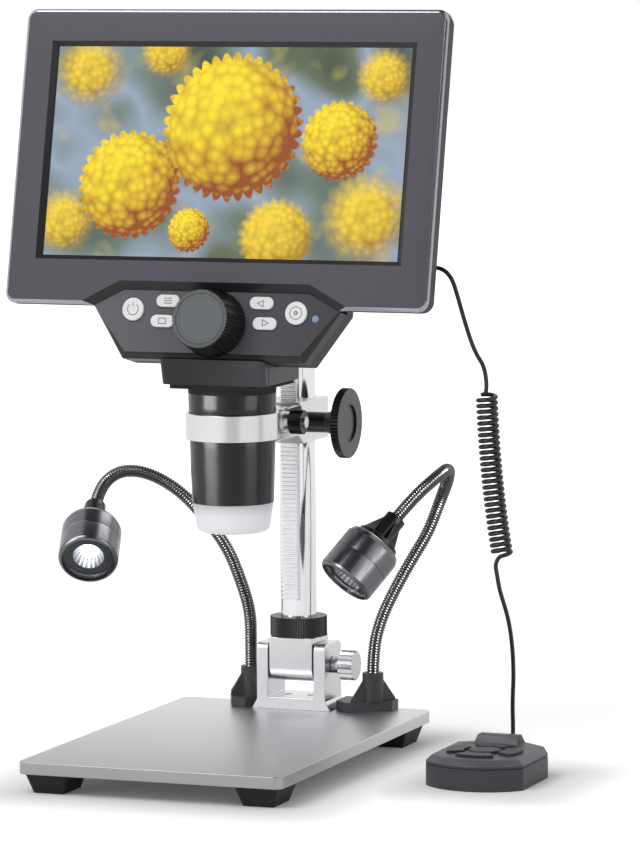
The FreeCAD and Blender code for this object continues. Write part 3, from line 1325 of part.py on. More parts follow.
def arc_over(start, corner, end):
    """The arc that touches two equal runs at their ends, and its radius."""
    half_turn = (corner - start).getAngle(end - corner) / 2
    run = (corner - start).Length
    if half_turn < 1e-4:
        return Part.LineSegment(start, end).toShape(), math.inf
    radius = run / math.tan(half_turn)
    inward = ((start - corner) + (end - corner)).normalize()
    middle = corner + inward * (radius / math.cos(half_turn) - radius)
    return Part.Arc(start, middle, end).toShape(), radius


def route(name, points):
    """Straight runs joined by tangent arcs, each as large as its two runs allow."""
    points = [FreeCAD.Vector(*point) for point in points]
    edges, radii, start = [], [], points[0]
    for before, corner, after in zip(points, points[1:], points[2:]):
        arriving, leaving = corner - before, after - corner
        reach = 0.45 * min(arriving.Length, leaving.Length)
        arc_start = corner - arriving.normalize() * reach
        arc_end = corner + leaving.normalize() * reach
        edges.append(Part.LineSegment(start, arc_start).toShape())
        arc, radius = arc_over(arc_start, corner, arc_end)
        edges.append(arc)
        radii.append(radius)
        start = arc_end
    edges.append(Part.LineSegment(start, points[-1]).toShape())
    length = sum(edge.Length for edge in edges)
    print("%s: length %.1f mm, radii %s" % (name, length, " ".join("%.1f" % radius for radius in radii)))
    return edges


def disc_at(point, way, side, radius):
    """A circle square to a direction, whose start points to one side."""
    across = (side - way * side.dot(way)).normalize()
    edge = Part.makeCircle(radius)
    edge.Placement = FreeCAD.Placement(point, FreeCAD.Rotation(across, way.cross(across), way, "ZXY"))
    return Part.Wire([edge]), across


def tube_along(name, edges, radius):
    """A round tube along a path, whose volume is compared with its section times its length."""
    wire = Part.Wire(edges)
    way = edges[0].tangentAt(edges[0].FirstParameter)
    start = edges[0].valueAt(edges[0].FirstParameter)
    profile, _ = disc_at(start, way, FreeCAD.Vector(way.y, way.z, way.x), radius)
    shape = wire.makePipeShell([profile], True, False)
    expected = math.pi * radius ** 2 * wire.Length
    print("%s: volume %.0f, section times length %.0f cubic mm" % (name, shape.Volume, expected))
    return shape


def along(edges, distance):
    """The point and the direction at a distance along a path."""
    for edge in edges:
        if distance <= edge.Length or edge is edges[-1]:
            spot = edge.getParameterByLength(min(distance, edge.Length))
            return edge.valueAt(spot), edge.tangentAt(spot)
        distance -= edge.Length


def ribbed_hose(name, edges):
    """A hose with ribs and a bore: each rib is a ruled stretch through four circles."""
    length = sum(edge.Length for edge in edges)
    step = length / int(s.hose_ribs)
    side = FreeCAD.Vector(1, 0.2, 0.1)
    outer, inner = [], []
    for rib in range(int(s.hose_ribs) + 1):
        stops = ((0, s.hose_valley), (0.2, s.hose_radius), (0.6, s.hose_radius), (0.8, s.hose_valley))
        for share, radius in stops if rib < int(s.hose_ribs) else stops[:1]:
            point, way = along(edges, (rib + share) * step)
            wire, side = disc_at(point, way, side, radius)
            outer.append(wire)
            if share == 0:
                inner.append(disc_at(point, way, side, s.hose_bore)[0])
    shape = Part.makeLoft(outer, True, True).cut(Part.makeLoft(inner, True, True))
    print("%s: %d ribs in %.1f mm, volume %.0f cubic mm" % (name, int(s.hose_ribs), length, shape.Volume))
    return shape


# A lamp's frame has its origin in the middle of its face and Z towards its back. The corners of its clip's
# flange are set back from the socket in Y and then X, or stand beside the bracket where X is left open

LAMPS = {
    "left": {
        "face": (-62.2, 0.0, 81.8),
        "back": (-0.254, 0.806, 0.535),
        "clip": (s.left_clip_x, s.left_clip_y),
        "flange": [(-5.5, None), (6.6, None), (6.6, -8.6), (-2.5, -8.6), (-11.0, -4.6), (-12.5, 1.9)],
        "bends": [(-21.3, 79.0, 38.0), (-22.0, 77.6, 52.5), (-25.3, 74.2, 66.8), (-29.5, 70.9, 80.0),
                  (-37.8, 66.6, 92.8), (-47.0, 61.6, 104.4), (-58.6, 54.4, 112.6), (-68.6, 46.4, 113.8)],
    },
    "right": {
        "face": (36.8, 34.0, 72.8),
        "back": (0.449, 0.554, 0.702),
        "clip": (s.right_clip_x, s.right_clip_y),
        "flange": [(-3.5, None), (-9.5, -8.3), (-2.5, 1.7), (1.0, 8.1), (8.6, 8.1), (8.6, None)],
        "bends": [(33.1, 77.0, 38.0), (35.9, 79.5, 51.5), (41.0, 83.4, 64.0), (47.0, 87.6, 76.2),
                  (53.0, 91.3, 87.3), (57.2, 93.6, 100.0), (62.0, 90.6, 109.6), (65.9, 81.0, 116.0),
                  (64.7, 69.2, 113.2)],
    },
}


def lamp_pieces(side):
    """One gooseneck lamp: its housing, its lens, the finned socket behind it and its hose."""
    lamp = LAMPS[side]
    face, back = FreeCAD.Vector(*lamp["face"]), FreeCAD.Vector(*lamp["back"]).normalize()
    turn = toward(back)
    radius, long, wall = s.lamp_radius, s.lamp_long, s.lamp_wall
    floor = s.lamp_seam - s.lamp_lip
    profile = [(radius - s.lamp_lip, 0), (radius - s.lamp_lip / 3, s.lamp_lip / 3), (radius, s.lamp_lip)]
    seam_low, seam_high = s.lamp_seam - s.lamp_seam_half, s.lamp_seam + s.lamp_seam_half
    profile += [(radius, seam_low), (radius - s.lamp_seam_deep, seam_low), (radius - s.lamp_seam_deep, seam_high)]
    profile += [(radius, seam_high), (radius, long - s.lamp_round)]
    profile += [(radius - s.lamp_round * 0.3, long - s.lamp_round * 0.3), (radius - s.lamp_round, long)]
    profile += [(s.hose_bore, long), (s.hose_bore, floor), (radius - wall * 2, floor)]
    profile += [(radius - wall * 2, s.lamp_lip + s.lamp_lens_thick), (radius - wall, s.lamp_lip + s.lamp_lens_thick)]
    profile += [(radius - wall, s.lamp_lip), (radius - s.lamp_lip, s.lamp_lip / 2)]
    keep(side + "_lamp_housing", turned(side + "_housing", profile, lamp["face"], turn))

    lens = rod(side + "_lens", radius - wall - s.hole_gap, s.lamp_lens_thick - s.seat_gap, lamp["face"], turn)
    lens.Placement.Base = face + back * s.lamp_lip
    keep(side + "_lamp_lens", lens)

    flange_end = long + s.seat_gap + s.lamp_flange
    mouth = flange_end + s.socket_tall
    flange_radius = radius - s.lamp_round - s.seat_gap
    shape = Part.makeCylinder(flange_radius, s.lamp_flange, FreeCAD.Vector(0, 0, long + s.seat_gap))
    tube = Part.makeCylinder(s.socket_radius, s.socket_tall, FreeCAD.Vector(0, 0, flange_end))
    shape = shape.fuse([tube] + fins(flange_end, flange_radius - s.fin_edge))
    bore = s.hose_radius + s.socket_gap
    seat = Part.makeCylinder(bore, s.hose_seat + s.seat_gap, FreeCAD.Vector(0, 0, mouth - s.hose_seat - s.seat_gap))
    wire_way = Part.makeCylinder(s.hose_bore, mouth, FreeCAD.Vector(0, 0, long))
    socket = solid(side + "_socket", shape.cut([seat, wire_way]).removeSplitter())
    keep(side + "_lamp_socket", place(socket, lamp["face"], turn))

    x, y = lamp["clip"]
    straight = mouth + s.hose_radius * 4
    points = [(x, y, SOCKET_TOP - s.hose_seat)] + lamp["bends"]
    points[1] = (x, y, lamp["bends"][0][2])
    points += [face + back * straight, face + back * (mouth - s.hose_seat)]
    hose = ribbed_hose(side + "_gooseneck", route(side + "_gooseneck", points))
    keep(side + "_gooseneck", solid(side + "_hose", hose))


def fins(bottom, reach):
    """Four thin triangular ribs that stiffen a socket."""
    shapes = []
    inner = s.socket_radius - s.hose_bore
    points = [(inner, 0), (reach, 0), (reach, s.fin_edge), (s.socket_radius, s.fin_tall), (inner, s.fin_tall)]
    for number in range(4):
        wire = polygon([(x, -s.fin_thick / 2, bottom + z) for x, z in points])
        fin = Part.Face(wire).extrude(FreeCAD.Vector(0, s.fin_thick, 0))
        fin.rotate(FreeCAD.Vector(), Z_AXIS, s.fin_angle + 90 * number)
        shapes.append(fin)
    return shapes


def clip_pieces():
    """The two feet that hold the goosenecks, each a flange with a finned socket."""
    near = s.bracket_half + s.bracket_flare + s.head_recess_gap
    clips = []
    flange_top = PLATE_TOP + s.clip_thick
    for side, lamp in LAMPS.items():
        x, y = lamp["clip"]
        inner_x = math.copysign(near, x)
        corners = [(inner_x if right is None else x + right, y + back) for back, right in lamp["flange"]]
        flange = slab(corners, PLATE_TOP, flange_top)
        limit = slab(corners, PLATE_TOP, SOCKET_TOP)
        ribs = fins(flange_top, s.fin_reach)
        for rib in ribs:
            rib.translate(FreeCAD.Vector(x, y, 0))
        ribs = [rib.common(limit) for rib in ribs]
        socket = Part.makeCylinder(s.socket_radius, s.socket_tall, FreeCAD.Vector(x, y, flange_top))
        bore = Part.makeCylinder(s.hose_radius + s.socket_gap, s.hose_seat + s.seat_gap,
                                 FreeCAD.Vector(x, y, SOCKET_TOP - s.hose_seat - s.seat_gap))
        shape = flange.fuse([socket] + ribs).cut(bore).removeSplitter()
        clips.append(solid(side + "_clip", shape))
    keep("gooseneck_clips", group("clips", *clips))


# The curly cord and the remote control

def biarc(start, start_way, end, end_way):
    """Two arcs that join two points with given directions, and their radii."""
    chord = end - start
    ways = start_way + end_way
    square = 2 * (1 - start_way.dot(end_way))
    if square < 1e-9:
        return [Part.LineSegment(start, end).toShape()], [math.inf]
    chord_way = chord.dot(ways)
    reach = (math.sqrt(chord_way ** 2 + square * chord.dot(chord)) - chord_way) / square
    first, last = start + start_way * reach, end - end_way * reach
    joint = (first + last) * 0.5
    arcs = [arc_over(start, first, joint), arc_over(joint, last, end)]
    return [arc for arc, _ in arcs], [radius for _, radius in arcs]


COIL_AXIS = [(109.6, 3.0, 155.4), (109.9, 5.0, 122.9), (114.2, 8.0, 90.5)]


def coil_axis(share):
    """The point and the direction at a share of the coil's gently bent axis."""
    low, middle, high = [FreeCAD.Vector(*point) for point in COIL_AXIS]
    point = low * (1 - share) ** 2 + middle * (2 * share * (1 - share)) + high * share ** 2
    way = ((middle - low) * (1 - share) + (high - middle) * share).normalize()
    return point, way


def coil_point(turns):
    """A point of the curly cord after a number of turns. It winds out from the axis at the top."""
    point, way = coil_axis(turns / s.coil_turns)
    across = (X_AXIS - way * way.x).normalize()
    sideways = way.cross(across)
    angle = 2 * math.pi * turns + math.pi / 2
    reach = s.coil_radius * min(1.0, 2 * turns)
    return point + across * (reach * math.cos(angle)) + sideways * (reach * math.sin(angle))


def coil_path():
    """The curly cord's path, a biarc for each quarter turn, straight at both ends."""
    top, top_way = coil_axis(0)
    straight = s.cord_radius * 2
    point, way, radii = top - top_way * (s.coil_radius / 2), top_way, []
    start = point - way * straight
    edges = [Part.LineSegment(start, point).toShape()]
    quarters = int(s.coil_turns) * 4
    for quarter in range(1, quarters + 1):
        turns = quarter / 4
        next_point = coil_point(turns)
        next_way = (coil_point(turns + 0.001) - coil_point(turns - 0.001)).normalize()
        arcs, arc_radii = biarc(point, way, next_point, next_way)
        edges += arcs
        radii += arc_radii
        point, way = next_point, next_way
    last, last_way = coil_axis(1)
    across = (X_AXIS - last_way * last_way.x).normalize()
    end = last - across * s.coil_radius + last_way * s.coil_radius
    arcs, arc_radii = biarc(point, way, end, last_way)
    edges += arcs
    radii += arc_radii
    edges.append(Part.LineSegment(end, end + last_way * straight).toShape())
    print("cord_coil: tightest radius %.2f mm" % min(radii))
    return edges, start, top_way, end + last_way * straight, last_way


def least_gap(edges, thick):
    """The least gap between stretches of a path that are over half a turn apart."""
    length = sum(edge.Length for edge in edges)
    spacing = thick / 3
    spots = [along(edges, spacing * number)[0] for number in range(int(length / spacing))]
    apart = int(math.pi * s.coil_radius / spacing)
    window = apart * 4
    nearest = min((spots[i] - spots[k]).Length
                  for i in range(len(spots)) for k in range(i + apart, min(i + window, len(spots))))
    return nearest - thick


def cord_pieces():
    """The remote's plug, its curly cord and the leads above and below the curls."""
    profile = [(0, 0), (s.plug_radius, 0), (s.plug_radius, s.plug_long), (s.plug_neck, s.plug_long)]
    profile += [(s.cord_radius + 0.4, s.plug_long + s.plug_relief), (0, s.plug_long + s.plug_relief)]
    plug_start = s.hump_half - s.cover_wall
    plug = turned("plug", profile, (plug_start, head_y(s.plug_v, s.plug_w), head_z(s.plug_v, s.plug_w)), ALONG_X)
    keep("remote_plug", plug)

    edges, top, top_way, end, end_way = coil_path()
    coil = tube_along("cord_coil", edges, s.cord_radius)
    print("cord_coil: least gap to itself %.2f mm" % least_gap(edges, s.cord_radius * 2))
    keep("cord_coil", solid("coil", coil))

    exit_y, exit_z = head_y(s.plug_v, s.plug_w), head_z(s.plug_v, s.plug_w)
    exit_x = plug_start + s.plug_long + s.plug_relief
    lead_in = s.coil_radius + s.cord_radius * 3
    bends = [(exit_x + lead_in - s.cord_radius * 2, exit_y, exit_z), (94.8, 2.9, 201.3), (96.8, 3.0, 196.2)]
    bends += [(99.6, 3.1, 186.2), (104.3, 3.0, 172.0)]
    points = [(exit_x, exit_y, exit_z)] + bends + [top - top_way * lead_in, top]
    upper = tube_along("cord_upper_lead", route("cord_upper_lead", points), s.cord_radius)
    keep("cord_upper_lead", solid("upper_lead", upper))

    mouth_x, mouth_y, mouth_z = s.remote_x + s.remote_exit, s.remote_y + s.remote_back + s.nozzle_long, s.nozzle_z
    bends = [(111.8, 12.5, 74.5), (113.2, 18.6, 63.0), (112.6, 25.0, 50.5), (110.9, 31.2, 38.2),
             (108.6, 36.2, 26.0), (108.2, 38.3, 15.0), (108.4, 36.7, 9.2), (mouth_x, mouth_y + lead_in, mouth_z)]
    points = [end, end + end_way * lead_in] + bends + [(mouth_x, mouth_y, mouth_z)]
    lower = tube_along("cord_lower_lead", route("cord_lower_lead", points), s.cord_radius)
    keep("cord_lower_lead", solid("lower_lead", lower))


def remote_corners(inset=0.0):
    """The corners of the remote's right side, from its back to the start of its rounded front."""
    half = s.remote_half - inset
    return [(s.remote_back_half - inset / 2, s.remote_back - inset), (half, s.remote_shoulder - inset / 2),
            (half, -s.remote_side + inset / 2)]


def around(corners):
    """A whole outline about the remote's middle, counted anticlockwise."""
    return [(s.remote_x + x, s.remote_y + y) for x, y in reversed(corners)]


def remote_inside(inset):
    """The outline of a hollow in the remote, whose front is cut off square."""
    return around(mirrored(remote_corners(inset) + [(s.remote_front_half - inset / 2, -s.remote_front + inset)]))


def remote_shell(name, tall, offset):
    """A block in the remote's outline, whose pointed front is rounded to one wide arc."""
    right = remote_corners()
    corners = right + [(0, -s.remote_tip)] + mirrored(right)[len(right):]
    shell = padded(name, "XY_Plane", around(corners), tall, offset)
    deep = s.remote_tip - s.remote_side
    slant = root(s.remote_half * s.remote_half + deep * deep)
    arc = s.remote_half * slant / deep * s.remote_arc_share
    front = s.remote_y - s.remote_side
    dressed(shell, "Fillet", arc, lambda edge: is_line_along(edge, Z_AXIS)
            and edge.CenterOfMass.y < front - deep / 2)
    dressed(shell, "Fillet", s.remote_round, lambda edge: is_line_along(edge, Z_AXIS)
            and abs(edge.CenterOfMass.y - front) < s.hole_gap)
    return shell


def sector(inner, outer, middle_angle, span, low, high):
    """A solid between two arcs about the remote's key centre."""
    centre = FreeCAD.Vector(s.remote_x, s.remote_y + s.remote_key_y, low)

    def at(radius, angle):
        turn = math.radians(angle)
        return centre + FreeCAD.Vector(radius * math.cos(turn), radius * math.sin(turn), 0)

    first, last = middle_angle - span / 2, middle_angle + span / 2
    edges = [Part.Arc(at(outer, first), at(outer, middle_angle), at(outer, last)).toShape(),
             Part.LineSegment(at(outer, last), at(inner, last)).toShape(),
             Part.Arc(at(inner, last), at(inner, middle_angle), at(inner, first)).toShape(),
             Part.LineSegment(at(inner, first), at(outer, first)).toShape()]
    return Part.Face(Part.Wire(edges)).extrude(FreeCAD.Vector(0, 0, high - low))


def remote_key(angle, low, high, grow=0.0):
    """The shape of a key of the remote: a disc in the middle or a sector round it."""
    if angle is None:
        centre = FreeCAD.Vector(s.remote_x, s.remote_y + s.remote_key_y, low)
        return Part.makeCylinder(s.remote_disc_radius + grow, high - low, centre)
    spread = math.degrees(grow / s.remote_key_inner)
    span = s.remote_key_span + spread * 2
    return sector(s.remote_key_inner - grow, s.remote_key_outer + grow, angle, span, low, high)


REMOTE_KEYS = {"remote_center_button": None, "remote_right_button": 0, "remote_up_button": 90,
               "remote_left_button": 180, "remote_down_button": 270}


def remote_pieces():
    """The two shells of the wired remote control and its five keys."""
    wall = s.remote_wall
    tray = remote_shell("tray", s.remote_split, Size(0.0))
    hollowed(tray, remote_inside(wall), s.remote_split - wall, s.remote_split)
    nozzle_long = wall + s.nozzle_long
    nozzle_end = s.remote_y + s.remote_back + s.nozzle_long
    nozzle = rod("nozzle", s.cord_radius * 2, nozzle_long, (s.remote_x + s.remote_exit, nozzle_end, s.nozzle_z),
                 FreeCAD.Rotation(X_AXIS, 90))
    post_places = [(-s.remote_post_side, 0), (s.remote_post_side, 0)]
    post_places += [(0, -s.remote_post_front), (0, s.remote_post_back)]
    posts = []
    for number, (x, y) in enumerate(post_places, start=1):
        post_at = (s.remote_x + x, s.remote_y + y, wall / 2)
        posts.append(rod("remote_post%d" % number, s.post_radius, s.remote_pad - wall / 2, post_at))
    pad_size = (s.remote_pad_half * 2, s.remote_pad_front + s.remote_pad_back, s.remote_pad_thick)
    pad_at = (s.remote_x - s.remote_pad_half, s.remote_y - s.remote_pad_front, s.remote_pad)
    pad_plate = block("remote_pad_plate", pad_size, pad_at)
    keep("remote_bottom", union("tray_and_nozzle", tray, nozzle, *posts, pad_plate))

    low = s.remote_split + s.seam_gap
    lid = remote_shell("lid", s.remote_top - low, low)
    dressed(lid, "Chamfer", s.remote_chamfer, lambda edge: in_front_edge(edge, s.remote_top)
            and edge.CenterOfMass.y < s.remote_y - s.remote_side + s.hole_gap)
    inset = wall + s.remote_chamfer
    hollowed(lid, remote_inside(inset), s.remote_top - wall - low, s.remote_top - wall)
    hump_low = (s.hump_wide + s.hump_slope, s.hump_deep + s.hump_slope)
    hump_high = (s.hump_wide, s.hump_deep - s.hump_slope)
    hump_y = s.remote_y + s.remote_back - (s.hump_deep + s.hump_slope) / 2
    hump = frustum("hump", hump_low, hump_high, s.hump_tall, (s.remote_x + s.remote_exit, hump_y, s.remote_top))
    holes = [solid(name + "_hole", remote_key(angle, low, s.remote_top, s.remote_key_gap))
             for name, angle in REMOTE_KEYS.items()]
    keep("remote_top", minus("pierced_lid", union("lid_and_hump", lid, hump), *holes))

    back = s.remote_top - wall - s.seat_gap
    for name, angle in REMOTE_KEYS.items():
        cap = remote_key(angle, back - s.key_flange / 2, s.remote_top + s.remote_key_rise)
        flange = remote_key(angle, back - s.key_flange, back, s.remote_key_gap * 3)
        keep(name, solid(name + "_shape", cap.fuse(flange).removeSplitter()))


base_pieces()
bracket_pieces()
clip_pieces()
column_pieces()
carriage_pieces()
bezel_piece()
panel_piece()
cover_piece()
display_insides()
key_pieces()
focus_pieces()
neck_pieces()
barrel_pieces()
for lamp_side in LAMPS:
    lamp_pieces(lamp_side)
cord_pieces()
remote_pieces()

document.recompute()
for item in document.Objects:
    if "Invalid" in item.State or "Error" in item.State:
        raise SystemExit("%s could not be made: %s" % (item.Name, item.State))
for item in subparts:
    if item.Shape.isNull() or not item.Shape.isValid():
        raise SystemExit("%s has no valid shape" % item.Label)

os.makedirs("parts", exist_ok=True)
for item in subparts:
    item.Shape.exportStep("parts/%s.step" % item.Label)
    box = item.Shape.BoundBox
    corners = " ".join("%.1f" % value for value in (box.XMin, box.YMin, box.ZMin, box.XMax, box.YMax, box.ZMax))
    print("%-22s %d solids, %s" % (item.Label, len(item.Shape.Solids), corners))
print("%d sub-parts" % len(subparts))
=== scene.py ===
import json
import math

import bmesh
import bpy
from mathutils import Matrix, Vector

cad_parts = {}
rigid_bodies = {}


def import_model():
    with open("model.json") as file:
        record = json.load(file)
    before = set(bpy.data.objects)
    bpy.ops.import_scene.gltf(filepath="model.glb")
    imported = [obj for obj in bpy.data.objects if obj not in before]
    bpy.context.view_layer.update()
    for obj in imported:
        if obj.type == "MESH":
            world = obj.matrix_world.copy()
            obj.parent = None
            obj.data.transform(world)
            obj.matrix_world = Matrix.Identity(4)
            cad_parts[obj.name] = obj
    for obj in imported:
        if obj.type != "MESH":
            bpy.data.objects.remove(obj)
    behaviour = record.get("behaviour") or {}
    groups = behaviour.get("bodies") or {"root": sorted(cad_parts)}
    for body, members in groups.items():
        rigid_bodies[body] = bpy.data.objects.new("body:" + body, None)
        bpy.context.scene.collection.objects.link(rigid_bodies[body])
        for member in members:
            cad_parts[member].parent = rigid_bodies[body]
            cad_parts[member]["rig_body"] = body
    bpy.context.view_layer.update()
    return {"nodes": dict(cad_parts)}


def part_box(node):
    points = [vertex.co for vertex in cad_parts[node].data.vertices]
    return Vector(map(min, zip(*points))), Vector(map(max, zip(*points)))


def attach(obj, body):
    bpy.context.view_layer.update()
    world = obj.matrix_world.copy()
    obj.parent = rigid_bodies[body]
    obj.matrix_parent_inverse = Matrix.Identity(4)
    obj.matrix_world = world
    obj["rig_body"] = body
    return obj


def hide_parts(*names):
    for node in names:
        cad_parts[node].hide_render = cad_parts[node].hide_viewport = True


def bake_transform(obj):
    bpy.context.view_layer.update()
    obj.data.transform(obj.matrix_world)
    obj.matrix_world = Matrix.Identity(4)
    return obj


# The scene is in metres. Sizes and places of the object's forms are written in millimetres

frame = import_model()
MM = 0.001
SAME_POINT = 1e-6
WHITE = (1, 1, 1, 1)


# Camera

CAMERA_RIGHT = (0.9328292522, 0.3602574143, -0.0066469257)
CAMERA_UP = (-0.0311718654, 0.0990653054, 0.9945925699)
CAMERA_BACK = (0.3589678272, -0.9275778462, 0.1036409104)
CAMERA_PLACE = (0.7585017, -1.8567010, 0.3498341)

camera_data = bpy.data.cameras.new("camera")
camera_data.lens = 213.7767
camera_data.sensor_width = 36.0
camera = bpy.data.objects.new("camera", camera_data)
bpy.context.scene.collection.objects.link(camera)
camera.matrix_world = Matrix((CAMERA_RIGHT, CAMERA_UP, CAMERA_BACK)).transposed().to_4x4()
camera.matrix_world.translation = CAMERA_PLACE
bpy.context.scene.camera = camera


# Helpers for pieces

def add_piece(name, mesh, materials, body=None, stands_for=()):
    """A new piece with its materials, which rides on a body and stands for CAD nodes."""
    piece = bpy.data.objects.new(name, mesh)
    bpy.context.scene.collection.objects.link(piece)
    if not mesh.materials:
        for material in materials:
            mesh.materials.append(material)
    if body:
        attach(piece, body)
    if stands_for:
        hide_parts(*stands_for)
    return piece


def mesh_of(name, form):
    """The mesh of a finished bmesh."""
    mesh = bpy.data.meshes.new(name)
    form.to_mesh(mesh)
    form.free()
    return mesh


def body_of(node):
    """The body that a CAD node rides on."""
    return frame["nodes"][node]["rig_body"]


def baked(piece):
    """A piece's mesh with its modifiers applied."""
    bpy.context.view_layer.update()
    graph = bpy.context.evaluated_depsgraph_get()
    mesh = bpy.data.meshes.new_from_object(piece.evaluated_get(graph))
    bpy.data.objects.remove(piece)
    return mesh


def spun(places, axis, steps):
    """A form turned about an axis through the origin from a line of places."""
    form = bmesh.new()
    corners = [form.verts.new([value * MM for value in place]) for place in places]
    lines = [form.edges.new(pair) for pair in zip(corners, corners[1:])]
    bmesh.ops.spin(form, geom=corners + lines, cent=(0, 0, 0), axis=axis, angle=2 * math.pi,
                   steps=steps, use_merge=True)
    bmesh.ops.remove_doubles(form, verts=form.verts, dist=SAME_POINT)
    bmesh.ops.recalc_face_normals(form, faces=form.faces)
    return form


def turned(profile, steps, place):
    """A form turned about its own Z from a profile of radius and height, moved to its place."""
    form = spun([(radius, 0, height) for radius, height in profile], (0, 0, 1), steps)
    bmesh.ops.transform(form, matrix=place, verts=form.verts)
    return form


# Routes of the cord, with the points that the solids follow

COIL_AXIS = [Vector(point) for point in ((109.6, 3, 155.4), (109.9, 5, 122.9), (114.2, 8, 90.5))]
COIL_RADIUS = 3.6
COIL_TURNS = 28
STEPS_PER_TURN = 12
CORD_RADIUS = 0.875
LEAD_IN = COIL_RADIUS + CORD_RADIUS * 3


def coil_axis(share):
    """The point and the direction at a share of the coil's gently bent axis."""
    low, middle, high = COIL_AXIS
    point = low * (1 - share) ** 2 + middle * (2 * share * (1 - share)) + high * share ** 2
    return point, ((middle - low) * (1 - share) + (high - middle) * share).normalized()


def coil_route():
    """The curly cord: a straight start, its turns in even steps and a straight end."""
    top, top_way = coil_axis(0)
    start = top - top_way * (COIL_RADIUS / 2 + CORD_RADIUS * 2)
    points = [start, top - top_way * (COIL_RADIUS / 2)]
    outward = COIL_RADIUS / math.cos(math.pi / STEPS_PER_TURN)
    for step in range(1, COIL_TURNS * STEPS_PER_TURN + 1):
        turns = step / STEPS_PER_TURN
        point, way = coil_axis(turns / COIL_TURNS)
        across = (Vector((1, 0, 0)) - way * way.x).normalized()
        angle = 2 * math.pi * turns + math.pi / 2
        reach = outward * min(1, 2 * turns)
        point += across * (reach * math.cos(angle))
        points.append(point + way.cross(across) * (reach * math.sin(angle)))
    last, last_way = coil_axis(1)
    across = (Vector((1, 0, 0)) - last_way * last_way.x).normalized()
    end = last - across * COIL_RADIUS + last_way * COIL_RADIUS
    points += [end, end + last_way * (CORD_RADIUS * 2)]
    return points, top_way, last_way


def line_along(name, points):
    """A smooth curve whose control points are a route's points."""
    curve = bpy.data.curves.new(name, "CURVE")
    curve.dimensions = "3D"
    curve.resolution_u = 6
    spline = curve.splines.new("NURBS")
    spline.points.add(len(points) - 1)
    for spot, point in zip(spline.points, points):
        spot.co = (*(Vector(point) * MM), 1)
    spline.order_u = 3
    spline.use_endpoint_u = True
    holder = bpy.data.objects.new(name, curve)
    bpy.context.scene.collection.objects.link(holder)
    return holder


def points_on(holder):
    """The points of a curve that has no bevel."""
    mesh = bpy.data.meshes.new_from_object(holder)
    points = [vertex.co.copy() for vertex in mesh.vertices]
    bpy.data.meshes.remove(mesh)
    return points


def length_of(path):
    """The length of a path of points."""
    return sum((after - before).length for before, after in zip(path, path[1:]))


def cord_tube(name, route):
    """The cord's round tube along a route, and the points that it follows."""
    holder = line_along(name, route)
    path = points_on(holder)
    holder.data.bevel_depth = CORD_RADIUS * MM
    holder.data.bevel_resolution = 3
    holder.data.use_fill_caps = True
    mesh = bpy.data.meshes.new_from_object(holder)
    bpy.data.objects.remove(holder)
    mesh.shade_smooth()
    return mesh, path


coil_points, COIL_TOP_WAY, COIL_END_WAY = coil_route()
COIL_TOP, COIL_END = coil_points[0], coil_points[-1]
UPPER_LEAD = [(86.4, 2.77, 204.81), (90.875, 2.77, 204.81), (94.8, 2.9, 201.3), (96.8, 3.0, 196.2),
              (99.6, 3.1, 186.2), (104.3, 3.0, 172.0), COIL_TOP - COIL_TOP_WAY * LEAD_IN, COIL_TOP]
LOWER_LEAD = [COIL_END, COIL_END + COIL_END_WAY * LEAD_IN, (111.8, 12.5, 74.5), (113.2, 18.6, 63.0),
              (112.6, 25.0, 50.5), (110.9, 31.2, 38.2), (108.6, 36.2, 26.0), (108.2, 38.3, 15.0),
              (108.4, 36.7, 9.2), (108.5, 33.825, 6.0), (108.5, 27.6, 6.0)]
# The lower lead is two stretches that meet halfway between two of its points, where their line is the same
SPLIT = 6
LEAD_SPLIT = (Vector(LOWER_LEAD[SPLIT - 1]) + Vector(LOWER_LEAD[SPLIT])) / 2
# Each stretch of the cord: its node, its route, two bodies and where a bend between them starts
# and ends. The coil and the lower lead are given the same bend
CORDS = {
    "cord_upper_lead_line": ("cord_upper_lead", UPPER_LEAD, ("head", "carriage"), UPPER_LEAD),
    "cord_coil_line": ("cord_coil", coil_points, ("carriage", "column"), (COIL_TOP, LEAD_SPLIT)),
    "cord_lower_lead_line": ("cord_lower_lead", LOWER_LEAD[:SPLIT] + [LEAD_SPLIT], ("carriage", "column"),
                             (COIL_TOP, LEAD_SPLIT)),
    "cord_lower_end_line": ("cord_lower_lead", [LEAD_SPLIT] + LOWER_LEAD[SPLIT:], ("column", "root"),
                            (LEAD_SPLIT, LOWER_LEAD[-1])),
}


# Shader tools

def srgb(red, green, blue):
    """A colour from screen values of 0 to 255."""
    linear = []
    for value in (red, green, blue):
        share = value / 255
        linear.append(share / 12.92 if share <= 0.04045 else ((share + 0.055) / 1.055) ** 2.4)
    return (*linear, 1.0)


